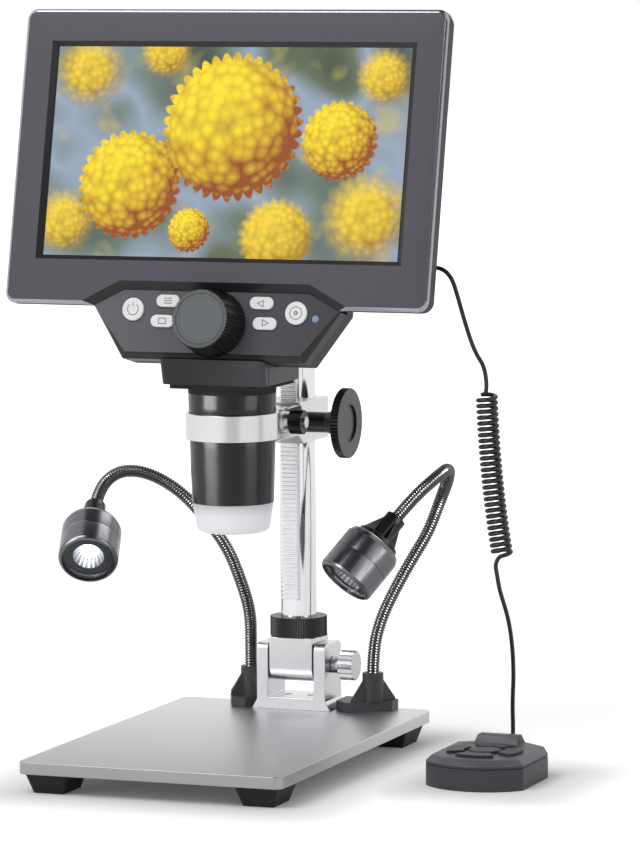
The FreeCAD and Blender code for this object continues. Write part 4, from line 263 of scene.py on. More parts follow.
class Graph:
    """A node tree with short ways to add nodes and join them."""

    def __init__(self, tree):
        self.tree = tree

    def feed(self, node, sockets):
        """Give a node's inputs their values, or join them to other nodes."""
        for name, value in sockets.items():
            if isinstance(value, bpy.types.NodeSocket):
                self.tree.links.new(value, node.inputs[name])
            else:
                node.inputs[name].default_value = value

    def add(self, kind, sockets=None, **settings):
        """A new node with its settings and inputs."""
        node = self.tree.nodes.new(kind)
        for name, value in settings.items():
            setattr(node, name, value)
        self.feed(node, sockets or {})
        return node

    def math(self, operation, first, second=0.0):
        """The result of a sum on two values."""
        return self.add("ShaderNodeMath", {0: first, 1: second}, operation=operation).outputs[0]

    def vector(self, operation, first, second=None):
        """The result of a sum on one or two vectors."""
        sockets = {0: first}
        if second is not None:
            sockets["Scale" if operation == "SCALE" else 1] = second
        node = self.add("ShaderNodeVectorMath", sockets, operation=operation)
        return node.outputs["Value" if operation in ("LENGTH", "DOT_PRODUCT") else "Vector"]

    def mix(self, share, first, second):
        """A colour between two colours."""
        return self.add("ShaderNodeMix", {0: share, 6: first, 7: second}, data_type="RGBA").outputs[2]

    def span(self, value, low, high, to_low=0.0, to_high=1.0, smooth=False):
        """A value moved from one range to another and held inside it."""
        kind = "SMOOTHSTEP" if smooth else "LINEAR"
        sockets = {0: value, 1: low, 2: high, 3: to_low, 4: to_high}
        return self.add("ShaderNodeMapRange", sockets, interpolation_type=kind).outputs[0]

    def ramp(self, value, stops):
        """The colour at a value, between stops that each have a place and a colour."""
        node = self.add("ShaderNodeValToRGB", {0: value})
        ramp = node.color_ramp
        while len(ramp.elements) < len(stops):
            ramp.elements.new(1.0)
        for element, (place, colour) in zip(ramp.elements, stops):
            element.position = place
            element.color = colour
        return node.outputs[0]

    def noise(self, place, scale, detail):
        """Soft noise at a place."""
        return self.add("ShaderNodeTexNoise", {"Vector": place, "Scale": scale, "Detail": detail}).outputs[0]

    def off_middle(self, value, amount):
        """How far a noise value lies from its middle, times an amount."""
        return self.math("MULTIPLY", self.math("SUBTRACT", value, 0.5), amount)

    def waves(self, angle, count):
        """Even waves of 0 to 1 round a circle, two for each count."""
        return self.math("ABSOLUTE", self.math("SINE", self.math("MULTIPLY", angle, count)))

    def held(self, value):
        """A value held between 0 and 1."""
        return self.add("ShaderNodeClamp", {0: value}).outputs[0]

    def here(self):
        """The place on the piece, in metres."""
        return self.add("ShaderNodeTexCoord").outputs["Object"]

    def axes(self, place):
        """The X, Y and Z of a place."""
        return self.add("ShaderNodeSeparateXYZ", {0: place}).outputs


def effect(name, inputs, outputs):
    """An empty shader node group, its graph, the sockets at its start and the node at its end."""
    tree = bpy.data.node_groups.new(name, "ShaderNodeTree")
    kinds = {4: "NodeSocketColor", 3: "NodeSocketVector", 0: "NodeSocketFloat"}
    for direction, sockets in (("INPUT", inputs), ("OUTPUT", outputs)):
        for socket_name, value in sockets.items():
            size = len(value) if isinstance(value, tuple) else 0
            socket = tree.interface.new_socket(name=socket_name, in_out=direction, socket_type=kinds[size])
            if direction == "INPUT":
                socket.default_value = value
    graph = Graph(tree)
    return tree, graph, graph.add("NodeGroupInput").outputs, graph.add("NodeGroupOutput")


# How much the noise of a finish changes its brightness and its roughness
FLECK = 0.10
METAL_CLOUD = 0.08
UNEVEN_GLOSS = 0.12
FINISH_OUTPUTS = {"Colour": (0, 0, 0, 1.0), "Rough": 0.0, "Height": 0.0}


def moulded_effect():
    """Moulded plastic: a fine grain, faint clouds in its colour and unevenness in its gloss."""
    inputs = {"Colour": (0.1, 0.1, 0.1, 1.0), "Rough": 0.4, "Grain": 1500.0, "Cloud": 0.08}
    tree, graph, given, end = effect("moulded plastic", inputs, FINISH_OUTPUTS)
    here = graph.here()
    grain = graph.noise(here, given["Grain"], 4.0)
    cloud = graph.noise(here, 28.0, 3.0)
    change = graph.math("ADD", graph.off_middle(cloud, given["Cloud"]), graph.off_middle(grain, FLECK))
    colour = graph.vector("SCALE", given["Colour"], graph.math("ADD", change, 1.0))
    rough = graph.math("ADD", given["Rough"], graph.off_middle(cloud, UNEVEN_GLOSS))
    graph.feed(end, {"Colour": colour, "Rough": rough, "Height": grain})
    return tree


def metal_effect():
    """Drawn or brushed metal: long fine lines along one direction and faint clouds."""
    inputs = {"Colour": (0.8, 0.8, 0.8, 1.0), "Rough": 0.25, "Lines": (900.0, 900.0, 20.0), "Strength": 0.1}
    tree, graph, given, end = effect("drawn metal", inputs, FINISH_OUTPUTS)
    here = graph.here()
    lines = graph.noise(graph.vector("MULTIPLY", here, given["Lines"]), 1.0, 4.0)
    cloud = graph.noise(here, 18.0, 2.0)
    change = graph.off_middle(lines, given["Strength"])
    brighter = graph.math("ADD", graph.math("ADD", change, graph.off_middle(cloud, METAL_CLOUD)), 1.0)
    colour = graph.vector("SCALE", given["Colour"], brighter)
    graph.feed(end, {"Colour": colour, "Rough": graph.math("ADD", given["Rough"], change), "Height": lines})
    return tree


MOULDED = moulded_effect()
DRAWN = metal_effect()
RELIEF_DEPTH = 0.0002


def material_graph(name):
    """A material with an empty Principled shader, and its graph."""
    material = bpy.data.materials.new(name)
    material.use_nodes = True
    material.node_tree.nodes.clear()
    graph = Graph(material.node_tree)
    shader = graph.add("ShaderNodeBsdfPrincipled")
    graph.add("ShaderNodeOutputMaterial", {0: shader.outputs[0]})
    return material, graph, shader


def relief(graph, shader, strength, height):
    """Fine relief on a shader's surface."""
    sockets = {"Strength": strength, "Distance": RELIEF_DEPTH, "Height": height}
    graph.feed(shader, {"Normal": graph.add("ShaderNodeBump", sockets).outputs[0]})


def finish_from(graph, shader, tree, sockets, bump):
    """Feed a shader from a finish's node group."""
    group = graph.add("ShaderNodeGroup", sockets, node_tree=tree).outputs
    graph.feed(shader, {"Base Color": group["Colour"], "Roughness": group["Rough"]})
    relief(graph, shader, bump, group["Height"])


def painted_light_drift(graph, axis, colour, far_painted_light, reach):
    """A colour, which may drift to another along an axis: a painted gradient of light and shade."""
    if not far_painted_light:
        return colour
    share = graph.span(graph.axes(graph.here())[axis], reach[0] * MM, reach[1] * MM)
    return graph.mix(share, colour, far_painted_light)


def plastic(name, colour, rough, grain, bump, specular, far_painted_light=None, reach=None):
    """Moulded plastic or rubber. Its colour may drift to another along X, as painted light and shade."""
    material, graph, shader = material_graph(name)
    sockets = {"Colour": painted_light_drift(graph, "X", colour, far_painted_light, reach), "Rough": rough, "Grain": grain}
    finish_from(graph, shader, MOULDED, sockets, bump)
    graph.feed(shader, {"Specular IOR Level": specular})
    return material


def metal(name, colour, rough, lines, strength, bump, far_painted_light=None, reach=None):
    """Metal with drawn lines. Its colour may drift to another along Y, as painted light and shade."""
    material, graph, shader = material_graph(name)
    sockets = {"Colour": painted_light_drift(graph, "Y", colour, far_painted_light, reach), "Rough": rough, "Lines": lines,
               "Strength": strength}
    finish_from(graph, shader, DRAWN, sockets, bump)
    graph.feed(shader, {"Metallic": 1.0})
    return material


def clear_plastic(name, tint):
    """Clear moulded plastic or glass with faint flow marks."""
    material, graph, shader = material_graph(name)
    marks = graph.noise(graph.here(), 220.0, 2.0)
    relief(graph, shader, 0.05, marks)
    graph.feed(shader, {"Base Color": graph.mix(marks, tint, WHITE), "Roughness": 0.03,
                        "Transmission Weight": 1.0, "IOR": 1.45})
    return material


def frosted_plastic():
    """The milky cap, a little darker towards its top where the barrel covers it: painted shade, which its
    faint glow as the ring light's cover carries too.
    """
    material, graph, shader = material_graph("frosted plastic")
    low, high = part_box("diffuser_cap")
    # Painted shade: the cap darkens towards its top, where the barrel sits
    share = graph.span(graph.axes(graph.here())["Z"], low.z, high.z)
    cap_painted_shade = graph.ramp(share, [(0.0, srgb(252, 250, 254)), (0.6, srgb(248, 246, 250)),
                               (1.0, srgb(214, 212, 218))])
    finish_from(graph, shader, MOULDED, {"Colour": cap_painted_shade, "Rough": 0.35, "Grain": 900.0}, 0.05)
    graph.feed(shader, {"Transmission Weight": 0.3, "Emission Color": cap_painted_shade, "Emission Strength": 0.12})
    return material


def glowing(name, colour, strength):
    """A light source's surface, a little uneven."""
    material, graph, shader = material_graph(name)
    cloud = graph.noise(graph.here(), 600.0, 2.0)
    tint = graph.mix(graph.span(cloud, 0.3, 0.7, 0.0, 0.2), colour, WHITE)
    graph.feed(shader, {"Emission Color": tint, "Base Color": tint, "Emission Strength": strength})
    return material


# Each metal: its colour, roughness, scale of its lines along X, Y and Z, their strength, and its relief; some
# also a far colour and its reach along Y, a painted gradient of light
# The satin plate is painted darker at its front and lighter towards its back: a painted gradient of light
SATIN = metal("satin aluminium", srgb(170, 170, 173), 0.36, (60.0, 1100.0, 900.0), 0.10, 0.05,
              srgb(214, 214, 217), (-80.0, 60.0))
CAST_SILVER = metal("cast silver", srgb(222, 222, 224), 0.26, (300.0, 300.0, 500.0), 0.08, 0.04)
BRIGHT_COLUMN = metal("bright column", srgb(236, 236, 238), 0.13, (1200.0, 1200.0, 12.0), 0.06, 0.02)
RACK_METAL = metal("rack metal", srgb(236, 236, 238), 0.28, (60.0, 900.0, 900.0), 0.08, 0.05)
STEEL = metal("steel", srgb(206, 206, 208), 0.22, (500.0, 500.0, 500.0), 0.08, 0.04)
BLACK_METAL = metal("black metal", srgb(58, 58, 60), 0.3, (900.0, 900.0, 900.0), 0.14, 0.05)
LAMP_METAL = metal("lamp metal", srgb(112, 112, 116), 0.24, (700.0, 700.0, 700.0), 0.10, 0.04)
EDGE_SILVER = metal("bright frame edge", srgb(168, 168, 176), 0.28, (500.0, 500.0, 500.0), 0.06, 0.03)
# Each plastic: its colour, roughness, scale of its grain, relief and specular level; some also a far colour
# and its reach along X, a painted gradient of light and shade
LAMP_RIM = plastic("lamp front ring", srgb(58, 57, 62), 0.4, 1500.0, 0.10, 0.4)
# The slate frame drifts a trace darker towards its right side: faint painted shade
SLATE = plastic("slate plastic", srgb(88, 86, 94), 0.42, 1700.0, 0.10, 0.2, srgb(88, 85, 94), (-90.0, 90.0))
DARK = plastic("dark plastic", srgb(38, 37, 40), 0.38, 1600.0, 0.12, 0.4)
# The neck is painted lighter towards its right side: painted light
NECK = plastic("neck plastic", srgb(48, 48, 51), 0.42, 1600.0, 0.12, 0.25, srgb(78, 75, 80), (-10.0, 22.0))
COVER = plastic("cover plastic", srgb(52, 50, 55), 0.5, 1300.0, 0.25, 0.35)
# The panel is painted darker towards its right side: painted shade
PANEL = plastic("panel plastic", srgb(102, 101, 106), 0.38, 1700.0, 0.10, 0.25, srgb(66, 65, 70),
                (-50.0, 50.0))
BUTTON = plastic("button white", srgb(238, 238, 240), 0.35, 1500.0, 0.06, 0.4)
SYMBOL = plastic("symbol grey", srgb(138, 138, 144), 0.45, 1500.0, 0.06, 0.3)
KNOB_FACE = plastic("knob face", srgb(98, 103, 105), 0.4, 1500.0, 0.08, 0.35)
BLACK_RUBBER = plastic("black rubber", srgb(30, 30, 32), 0.55, 1200.0, 0.25, 0.3)
KNURL = plastic("knurl black", srgb(26, 26, 28), 0.3, 1500.0, 0.08, 0.5)
GLOSS = plastic("gloss black", srgb(10, 10, 10), 0.22, 1500.0, 0.0, 0.4)
FLANGE_MATT = plastic("matt flange", srgb(58, 57, 60), 0.6, 1500.0, 0.1, 0.02)
HOSE = plastic("hose black", srgb(20, 20, 21), 0.2, 1500.0, 0.04, 1.0)
CORD = plastic("cord black", srgb(26, 26, 28), 0.34, 1500.0, 0.06, 0.5)
CLIP = plastic("clip plastic", srgb(72, 72, 76), 0.4, 1500.0, 0.12, 0.35)
REMOTE = plastic("remote plastic", srgb(64, 63, 68), 0.42, 1500.0, 0.14, 0.35)
REMOTE_EDGE = plastic("remote edge", srgb(86, 84, 92), 0.36, 1500.0, 0.10, 0.4)
REMOTE_KEY = plastic("remote key rubber", srgb(52, 52, 55), 0.5, 1300.0, 0.15, 0.35)
BOARD = plastic("board green", srgb(22, 74, 44), 0.4, 900.0, 0.2, 0.4)
WRAP = plastic("battery wrap", srgb(52, 88, 150), 0.35, 700.0, 0.1, 0.4)
CARD = plastic("card plastic", srgb(20, 20, 22), 0.4, 1500.0, 0.1, 0.4)
GLASS = clear_plastic("clear lens", (0.97, 0.98, 1.0, 1.0))
FROSTED = frosted_plastic()
LED_GLOW = glowing("led glow", (1.0, 1.0, 1.0, 1.0), 4.0)
STATUS = glowing("status light", srgb(92, 118, 150), 0.2)


# Cord pieces

def cord_pieces():
    """The leads and the curly cord between the display and the remote."""
    for name, (node, route, bodies, bend) in CORDS.items():
        mesh, path = cord_tube(name, route)
        piece = add_piece(name, mesh, [CORD], None, [node])
        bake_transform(piece)


cord_pieces()


# Lamps and their goosenecks

# Each lamp: the middle of its face, the way to its back and the bends of its gooseneck from the clip up
LAMPS = {
    "left": {"face": Vector((-62.2, 0, 81.8)), "back": Vector((-0.254, 0.806, 0.535)).normalized(),
             "bends": [(-22.4, 79, 24), (-22.4, 79, 38), (-22, 77.6, 52.5), (-25.3, 74.2, 66.8),
                       (-29.5, 70.9, 80), (-37.8, 66.6, 92.8), (-47, 61.6, 104.4), (-58.6, 54.4, 112.6),
                       (-68.6, 46.4, 113.8)]},
    "right": {"face": Vector((36.8, 34, 72.8)), "back": Vector((0.449, 0.554, 0.702)).normalized(),
              "bends": [(33.1, 77, 24), (33.1, 77, 38), (35.9, 79.5, 51.5), (41, 83.4, 64), (47, 87.6, 76.2),
                        (53, 91.3, 87.3), (57.2, 93.6, 100), (62, 90.6, 109.6), (65.9, 81, 116),
                        (64.7, 69.2, 113.2)]},
}
SOCKET_MOUTH = 35.05
HOSE_SEAT = 5.0
HOSE_CREST, HOSE_VALLEY = 2.65, 2.3
RIB_PITCH = 1.15
UPPER_RIBS = 26
HOSE_SIDES = 16
# A rib as the share of its pitch and the radius there
RIB = [(0, HOSE_VALLEY), (0.2, HOSE_CREST), (0.6, HOSE_CREST), (0.8, HOSE_VALLEY), (1, HOSE_VALLEY)]
# Forms in a lamp as radius and height behind its face
BOWL = [(6.3, 3.5), (5.9, 4.6), (4.9, 6.9), (3.4, 8.6), (1.9, 9.1), (1.9, 9.35), (0, 9.35)]
FRONT_RING = [(9.05, 3.3), (6.5, 3.3), (6.3, 3.5), (6.3, 3.9), (9.05, 3.9), (9.05, 3.3)]
LED_DOME = [(0, 4.6), (0.9, 4.75), (1.6, 5.3), (1.95, 6.2), (2.0, 9.1)]
# The reflector's painted reflection of the lamp's light: the count of its facet waves, and the radii in
# millimetres between which it brightens towards the middle
FACET_WAVES = 9.0
PAINTED_SHINE_EDGE, PAINTED_SHINE_MIDDLE = 6.5, 1.5


def ribs_along(name, holder, first, count):
    """A number of ribs of a flexible metal hose along a route, from one rib on."""
    start = first * RIB_PITCH
    form = spun([(start + share * RIB_PITCH, 0, radius) for share, radius in RIB], (1, 0, 0), HOSE_SIDES)
    piece = add_piece(name + "_rib", mesh_of(name + "_rib", form), [HOSE])
    repeat = piece.modifiers.new("repeat", "ARRAY")
    repeat.count = count
    repeat.use_relative_offset = False
    repeat.use_constant_offset = True
    repeat.constant_offset_displace = (RIB_PITCH * MM, 0, 0)
    repeat.use_merge_vertices = True
    repeat.merge_threshold = SAME_POINT * 10
    bend = piece.modifiers.new("bend", "CURVE")
    bend.object = holder
    bend.deform_axis = "POS_X"
    mesh = baked(piece)
    mesh.shade_smooth()
    return mesh


def lamp_matrix(side):
    """The place of a lamp: its face at the origin and its back along Z."""
    lamp = LAMPS[side]
    turn = Vector((0, 0, 1)).rotation_difference(lamp["back"]).to_matrix().to_4x4()
    return Matrix.Translation(lamp["face"] * MM) @ turn


def painted_reflector_shine(side):
    """A painted reflection of a lamp's light on its reflector: bright facets that glow, brightest round its
    middle.
    """
    material, graph, shader = material_graph(side + " reflector")
    rotation = lamp_matrix(side).to_quaternion().inverted()
    centre = rotation @ (LAMPS[side]["face"] * MM)
    mapping = graph.add("ShaderNodeMapping", {"Vector": graph.here(), "Location": -centre,
                                              "Rotation": rotation.to_euler()}, vector_type="POINT")
    across = graph.vector("MULTIPLY", mapping.outputs[0], (1.0, 1.0, 0.0))
    distance = graph.vector("LENGTH", across)
    x, y, _ = graph.axes(across)
    facets = graph.waves(graph.math("ARCTAN2", y, x), FACET_WAVES)
    near = graph.span(distance, PAINTED_SHINE_EDGE * MM, PAINTED_SHINE_MIDDLE * MM, 0.3, 0.9, smooth=True)
    light = graph.math("MULTIPLY", near, graph.span(facets, 0.1, 1.0, 0.35, 1.0))
    glow = graph.ramp(light, [(0.0, srgb(40, 42, 46)), (0.25, srgb(120, 124, 132)),
                              (0.6, srgb(236, 240, 248)), (1.0, WHITE)])
    # Painted reflection: the facets glow as if lit by the lamp's light
    graph.feed(shader, {"Emission Color": glow, "Base Color": glow, "Emission Strength": 0.75,
                        "Metallic": 0.8, "Roughness": 0.15})
    return material


def lamp_pieces(side):
    """A lamp's gooseneck in two stretches, its reflector, its front ring and its light."""
    lamp = LAMPS[side]
    lamp_body = side + "_lamp"
    mouth = lamp["face"] + lamp["back"] * SOCKET_MOUTH
    points = lamp["bends"] + [mouth + lamp["back"] * 4 * HOSE_CREST, mouth - lamp["back"] * HOSE_SEAT]
    holder = line_along(side + "_hose_line", points)
    path = points_on(holder)
    length = length_of(path) / MM
    ribs = int(length / RIB_PITCH)
    lower = ribs_along(side + "_lower", holder, 0, ribs - UPPER_RIBS)
    upper = ribs_along(side + "_upper", holder, ribs - UPPER_RIBS, UPPER_RIBS)
    bpy.data.objects.remove(holder)
    node = side + "_gooseneck"
    add_piece(node + "_lower", lower, [HOSE], side + "_arm", [node])
    bent = add_piece(node + "_upper", upper, [HOSE], None, [node])
    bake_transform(bent)

    place = lamp_matrix(side)
    bowl = turned(BOWL, 24, place)
    inward = [face for face in bowl.faces if face.normal.dot(-lamp["back"]) < 0]
    bmesh.ops.reverse_faces(bowl, faces=inward)
    add_piece(side + "_reflector", mesh_of(side + "_reflector", bowl), [painted_reflector_shine(side)], lamp_body)
    ring = mesh_of(side + "_front_ring", turned(FRONT_RING, 40, place))
    add_piece(side + "_front_ring", ring, [LAMP_RIM], lamp_body)
    led = mesh_of(side + "_light", turned(LED_DOME, 20, place))
    add_piece(side + "_light", led, [LED_GLOW], lamp_body)


# Finished shapes over CAD nodes

LEAN = math.radians(12.9)
HEAD_PLACE = Vector((0, -1.275, 249.85))
HEAD_UP = Vector((0, math.sin(LEAN), math.cos(LEAN)))
HEAD_OUT = Vector((0, -math.cos(LEAN), math.sin(LEAN)))
HEAD = Matrix((Vector((1, 0, 0)), HEAD_UP, HEAD_OUT)).transposed().to_4x4()
HEAD.translation = HEAD_PLACE * MM
HEAD_INSIDE = HEAD.inverted()

# Where finishes change, in the head's own frame: the display's opening, the notch over the panel, whose
# chamfer is painted dark as shade, and the panel's skirt. The barrel's flange starts at a height in metres
OPENING_HALF_WIDTH, OPENING_HALF_HEIGHT, OPENING_DEPTH = 79.3, 45.1, -2.3
NOTCH_LOW, NOTCH_HIGH, NOTCH_HALF_WIDTH = -62.9, -52.5, 52
PANEL_SKIRT = -3.4
FLANGE = 4.0
FLANGE_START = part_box("lens_barrel")[1].z - FLANGE * MM
# A face slopes when its normal is between these shares of straight out
SLOPE_LOW, SLOPE_HIGH = 0.3, 0.95
ROUNDED_CORNER, SHARP_CORNER = math.radians(35), math.radians(20)
FLAT_ANGLE = math.radians(0.6)


def in_head(point):
    """A point in the head's own frame, in millimetres."""
    return (HEAD_INSIDE @ point) / MM


def in_box(node):
    """A node's lowest and highest corners in the head's own frame, in millimetres."""
    spots = [in_head(vertex.co) for vertex in frame["nodes"][node].data.vertices]
    low = Vector([min(spot[axis] for spot in spots) for axis in range(3)])
    high = Vector([max(spot[axis] for spot in spots) for axis in range(3)])
    return low, high


def finished(node, materials, slot, edge, choose=None):
    """A node's own shape in place of the node, with its edges rounded off. With no edge they stay sharp."""
    form = bmesh.new()
    form.from_mesh(frame["nodes"][node].data)
    bmesh.ops.remove_doubles(form, verts=form.verts, dist=SAME_POINT * 2)
    if edge:
        bmesh.ops.dissolve_limit(form, angle_limit=FLAT_ANGLE, verts=form.verts, edges=form.edges)
    mesh = mesh_of(node + "_finished", form)
    mesh.shade_smooth()
    mesh.set_sharp_from_angle(angle=ROUNDED_CORNER if edge else SHARP_CORNER)
    piece = add_piece(node + "_finished", mesh, materials, body_of(node), [node])
    if choose:
        for face in mesh.polygons:
            face.material_index = choose(face.center, face.normal)
    if edge:
        bevel = piece.modifiers.new("edges", "BEVEL")
        bevel.width = edge * MM
        bevel.segments = 2
        bevel.limit_method = "ANGLE"
        bevel.angle_limit = ROUNDED_CORNER
        bevel.harden_normals = True
        bevel.use_clamp_overlap = False
        bevel.miter_outer = "MITER_ARC"
    else:
        piece.modifiers.new("even_shading", "WEIGHTED_NORMAL").keep_sharp = True


def bezel_face(centre, normal):
    """A face of the display's frame: its front, its bright rim, the dark round the display, the notch's
    chamfer painted dark as shade, or its back.
    """
    u, v, w = in_head(centre)
    out = normal.dot(HEAD_OUT)
    if abs(u) < OPENING_HALF_WIDTH and abs(v) < OPENING_HALF_HEIGHT and w > OPENING_DEPTH:
        return 2
    if SLOPE_LOW < out < SLOPE_HIGH:
        # The chamfer where the frame slopes down into the panel is painted dark: painted shade
        notch_painted_shade = NOTCH_LOW < v < NOTCH_HIGH and abs(u) < NOTCH_HALF_WIDTH
        return 2 if notch_painted_shade else 1
    return 0 if out > 0.5 else 3


def panel_face(centre, normal):
    """The panel's face is grey and its skirt is dark."""
    return 0 if normal.dot(HEAD_OUT) > 0.9 and in_head(centre).z > PANEL_SKIRT else 1


def barrel_face(centre, normal):
    """The barrel's flange under the neck is matt."""
    return 1 if centre.z > FLANGE_START else 0


def remote_face(centre, normal):
    """The sloping edge of the remote's lid is lighter than its top."""
    return 1 if SLOPE_LOW < normal.z < SLOPE_HIGH else 0


# Each node: its materials, its slot, how far its edges are rounded and what chooses a face's material
FINISHES = {
    "base_plate": ([SATIN], "satin_aluminium", 0.4),
    "rubber_feet": ([BLACK_RUBBER], "black_rubber", 0.4),
    "column_bracket": ([CAST_SILVER], "cast_silver", 0.35),
    "pivot_block": ([CAST_SILVER], "cast_silver", 0.3),
    "gooseneck_clips": ([CLIP], "dark_plastic", 0.2),
    "carriage": ([CAST_SILVER], "cast_silver", 0.35),
    "clamp_ring": ([CAST_SILVER], "cast_silver", 0.3),
    "front_bezel": ([SLATE, EDGE_SILVER, DARK, COVER], "slate_plastic", 0, bezel_face),
    "control_panel": ([PANEL, DARK], "panel_grey", 0, panel_face),
    "rear_cover": ([COVER], "dark_plastic", 0.3),
    "neck_body": ([NECK], "dark_plastic", 0.35),
    "neck_front_cover": ([NECK], "dark_plastic", 0.35),
    "lens_barrel": ([GLOSS, FLANGE_MATT], "gloss_black", 0, barrel_face),
    "diffuser_cap": ([FROSTED], "frosted_plastic", 0.15),
    **{key + "_button": ([BUTTON], "button_white", 0.3)
       for key in ("power", "ok", "menu", "mode", "up", "down")},
    "remote_top": ([REMOTE, REMOTE_EDGE], "remote_plastic", 0.3, remote_face),
    "remote_bottom": ([REMOTE], "remote_plastic", 0.3),
    **{"remote_%s_button" % key: ([REMOTE_KEY], "remote_key_rubber", 0)
       for key in ("center", "right", "up", "left", "down")},
    "memory_card": ([CARD], "card_plastic", 0.15),
    "remote_plug": ([DARK], "dark_plastic", 0.2),
}
LAMP_FINISHES = {"housing": ([LAMP_METAL], "lamp_metal", 0), "socket": ([BLACK_METAL], "black_metal", 0.15),
                 "lens": ([GLASS], "clear_lens", 0.15)}
# Nodes that keep their own shape and slots
PLAIN_NODES = {
    "base_screws": STEEL, "housing_screws": STEEL, "column": BRIGHT_COLUMN, "rack_bar": RACK_METAL,
    "column_collar": KNURL, "tilt_thumb_screw": STEEL, "clamp_bolt": STEEL, "clamp_nut": KNURL,
    "pinion_shaft": STEEL, "height_knob": KNURL, "lcd_panel": DARK, "main_board": BOARD, "key_board": BOARD,
    "battery": WRAP, "led_ring": BOARD, "image_sensor": BOARD, "focus_shaft": STEEL, "lens_tube": BLACK_METAL,
    "objective_lens": GLASS, "focus_knob": KNURL,
}


def dress_nodes():
    """Give each CAD node its finish, and the ones that show their rounded edges."""
    for node, settings in FINISHES.items():
        finished(node, *settings)
    for side in LAMPS:
        for part, settings in LAMP_FINISHES.items():
            finished("%s_lamp_%s" % (side, part), *settings)
    for node, material in PLAIN_NODES.items():
        for slot in frame["nodes"][node].material_slots:
            slot.link = "OBJECT"
            slot.material = material


# Display picture

# The way to the light over the grains, their bumps' scale, and how much those darken and brighten them
GRAIN_LIGHT = (-0.42, 0.52, 0.74)
BUMP_SCALE = 6.0
BUMP_DARK, BUMP_BRIGHT = -0.75, 0.3
SPIKE_HEIGHT = 0.1


def grain_effect():
    """A round spiky grain, lit from one side, at a place on the picture."""
    inputs = {"Place": (0.0, 0.0, 0.0), "Centre": (0.0, 0.0, 0.0), "Size": 0.2, "Soft": 0.02, "Spikes": 30.0,
              "Dark": (0.3, 0.1, 0.0, 1.0), "Bright": (1.0, 0.8, 0.1, 1.0)}
    tree, graph, given, end = effect("grain", inputs, {"Colour": (0, 0, 0, 1.0), "Mask": 0.0})
    away = graph.vector("SUBTRACT", given["Place"], given["Centre"])
    scaled = graph.vector("SCALE", away, graph.math("DIVIDE", 1.0, given["Size"]))
    flat = graph.vector("MULTIPLY", scaled, (1.0, 1.0, 0.0))
    distance = graph.vector("LENGTH", flat)
    x, y, _ = graph.axes(flat)
    spikes = graph.math("MULTIPLY", graph.waves(graph.math("ARCTAN2", y, x), given["Spikes"]), SPIKE_HEIGHT)
    inside = graph.math("SUBTRACT", graph.math("ADD", 1 - SPIKE_HEIGHT, spikes), distance)
    mask = graph.held(graph.math("DIVIDE", inside, given["Soft"]))
    fall = graph.math("SUBTRACT", 1.0, graph.math("MULTIPLY", distance, distance))
    height = graph.math("SQRT", graph.math("MAXIMUM", fall, 0.0))
    ball = graph.add("ShaderNodeCombineXYZ", {0: x, 1: y, 2: height}).outputs[0]
    light = graph.vector("DOT_PRODUCT", ball, GRAIN_LIGHT)
    bumps = graph.add("ShaderNodeTexVoronoi", {"Vector": ball, "Scale": BUMP_SCALE}).outputs["Distance"]
    mottle = graph.math("ADD", graph.math("MULTIPLY", bumps, BUMP_DARK), BUMP_BRIGHT)
    tone = graph.held(graph.math("ADD", graph.span(light, -0.1, 1.0, 0.05, 1.0), mottle))
    graph.feed(end, {"Colour": graph.mix(tone, given["Dark"], given["Bright"]), "Mask": mask})
    return tree


# Each grain on the display: its place and size as shares of the picture's height, its softness and spikes
GRAINS = [
    ((0.18, 0.88), 0.20, 0.55, 8), ((1.62, 0.20), 0.24, 0.50, 8), ((0.10, 0.16), 0.17, 0.45, 9),
    ((1.66, 0.86), 0.15, 0.40, 9), ((0.56, 0.98), 0.14, 0.35, 10), ((1.18, 0.10), 0.20, 0.20, 12),
    ((0.42, 0.34), 0.27, 0.06, 15), ((1.46, 0.56), 0.20, 0.08, 13), ((0.92, 0.62), 0.36, 0.03, 19),
    ((0.74, 0.13), 0.11, 0.05, 11),
]
SHARP_GRAIN = 0.15
SHARP_TONES = {"Dark": srgb(150, 72, 8), "Bright": srgb(255, 226, 40)}
SOFT_TONES = {"Dark": srgb(168, 128, 20), "Bright": srgb(248, 214, 60)}
PICTURE_WIDTH, PICTURE_TALL = 154.2, 85.9
PICTURE_LAP = 0.6
GLASS_EDGE = 0.3


def display_picture():
    """A slide of pollen grains, as a display shows it: sharp ones in front and soft ones behind."""
    material, graph, shader = material_graph("display picture")
    grain_tree = grain_effect()
    uv = graph.add("ShaderNodeUVMap", uv_map="picture").outputs[0]
    place = graph.vector("MULTIPLY", uv, (PICTURE_WIDTH / PICTURE_TALL, 1.0, 0.0))
    wash = graph.noise(place, 1.6, 1.5)
    picture = graph.ramp(wash, [(0.30, srgb(60, 74, 62)), (0.42, srgb(112, 128, 120)),
                                (0.52, srgb(150, 166, 186)), (0.62, srgb(96, 110, 84)),
                                (0.75, srgb(58, 70, 52))])
    haze = graph.noise(place, 5.0, 2.0)
    picture = graph.mix(graph.span(haze, 0.55, 0.75, 0.0, 0.5), picture, srgb(214, 196, 96))
    for (across, up), size, soft, spikes in GRAINS:
        tones = SHARP_TONES if soft < SHARP_GRAIN else SOFT_TONES
        sockets = {"Place": place, "Centre": (across, up, 0.0), "Size": size, "Soft": soft,
                   "Spikes": float(spikes), **tones}
        grain = graph.add("ShaderNodeGroup", sockets, node_tree=grain_tree).outputs
        picture = graph.mix(grain["Mask"], picture, grain["Colour"])
    graph.feed(shader, {"Emission Color": picture, "Emission Strength": 1.0, "Roughness": 0.18,
                        "Base Color": (0.01, 0.01, 0.012, 1.0), "Specular IOR Level": 0.3})
    return material


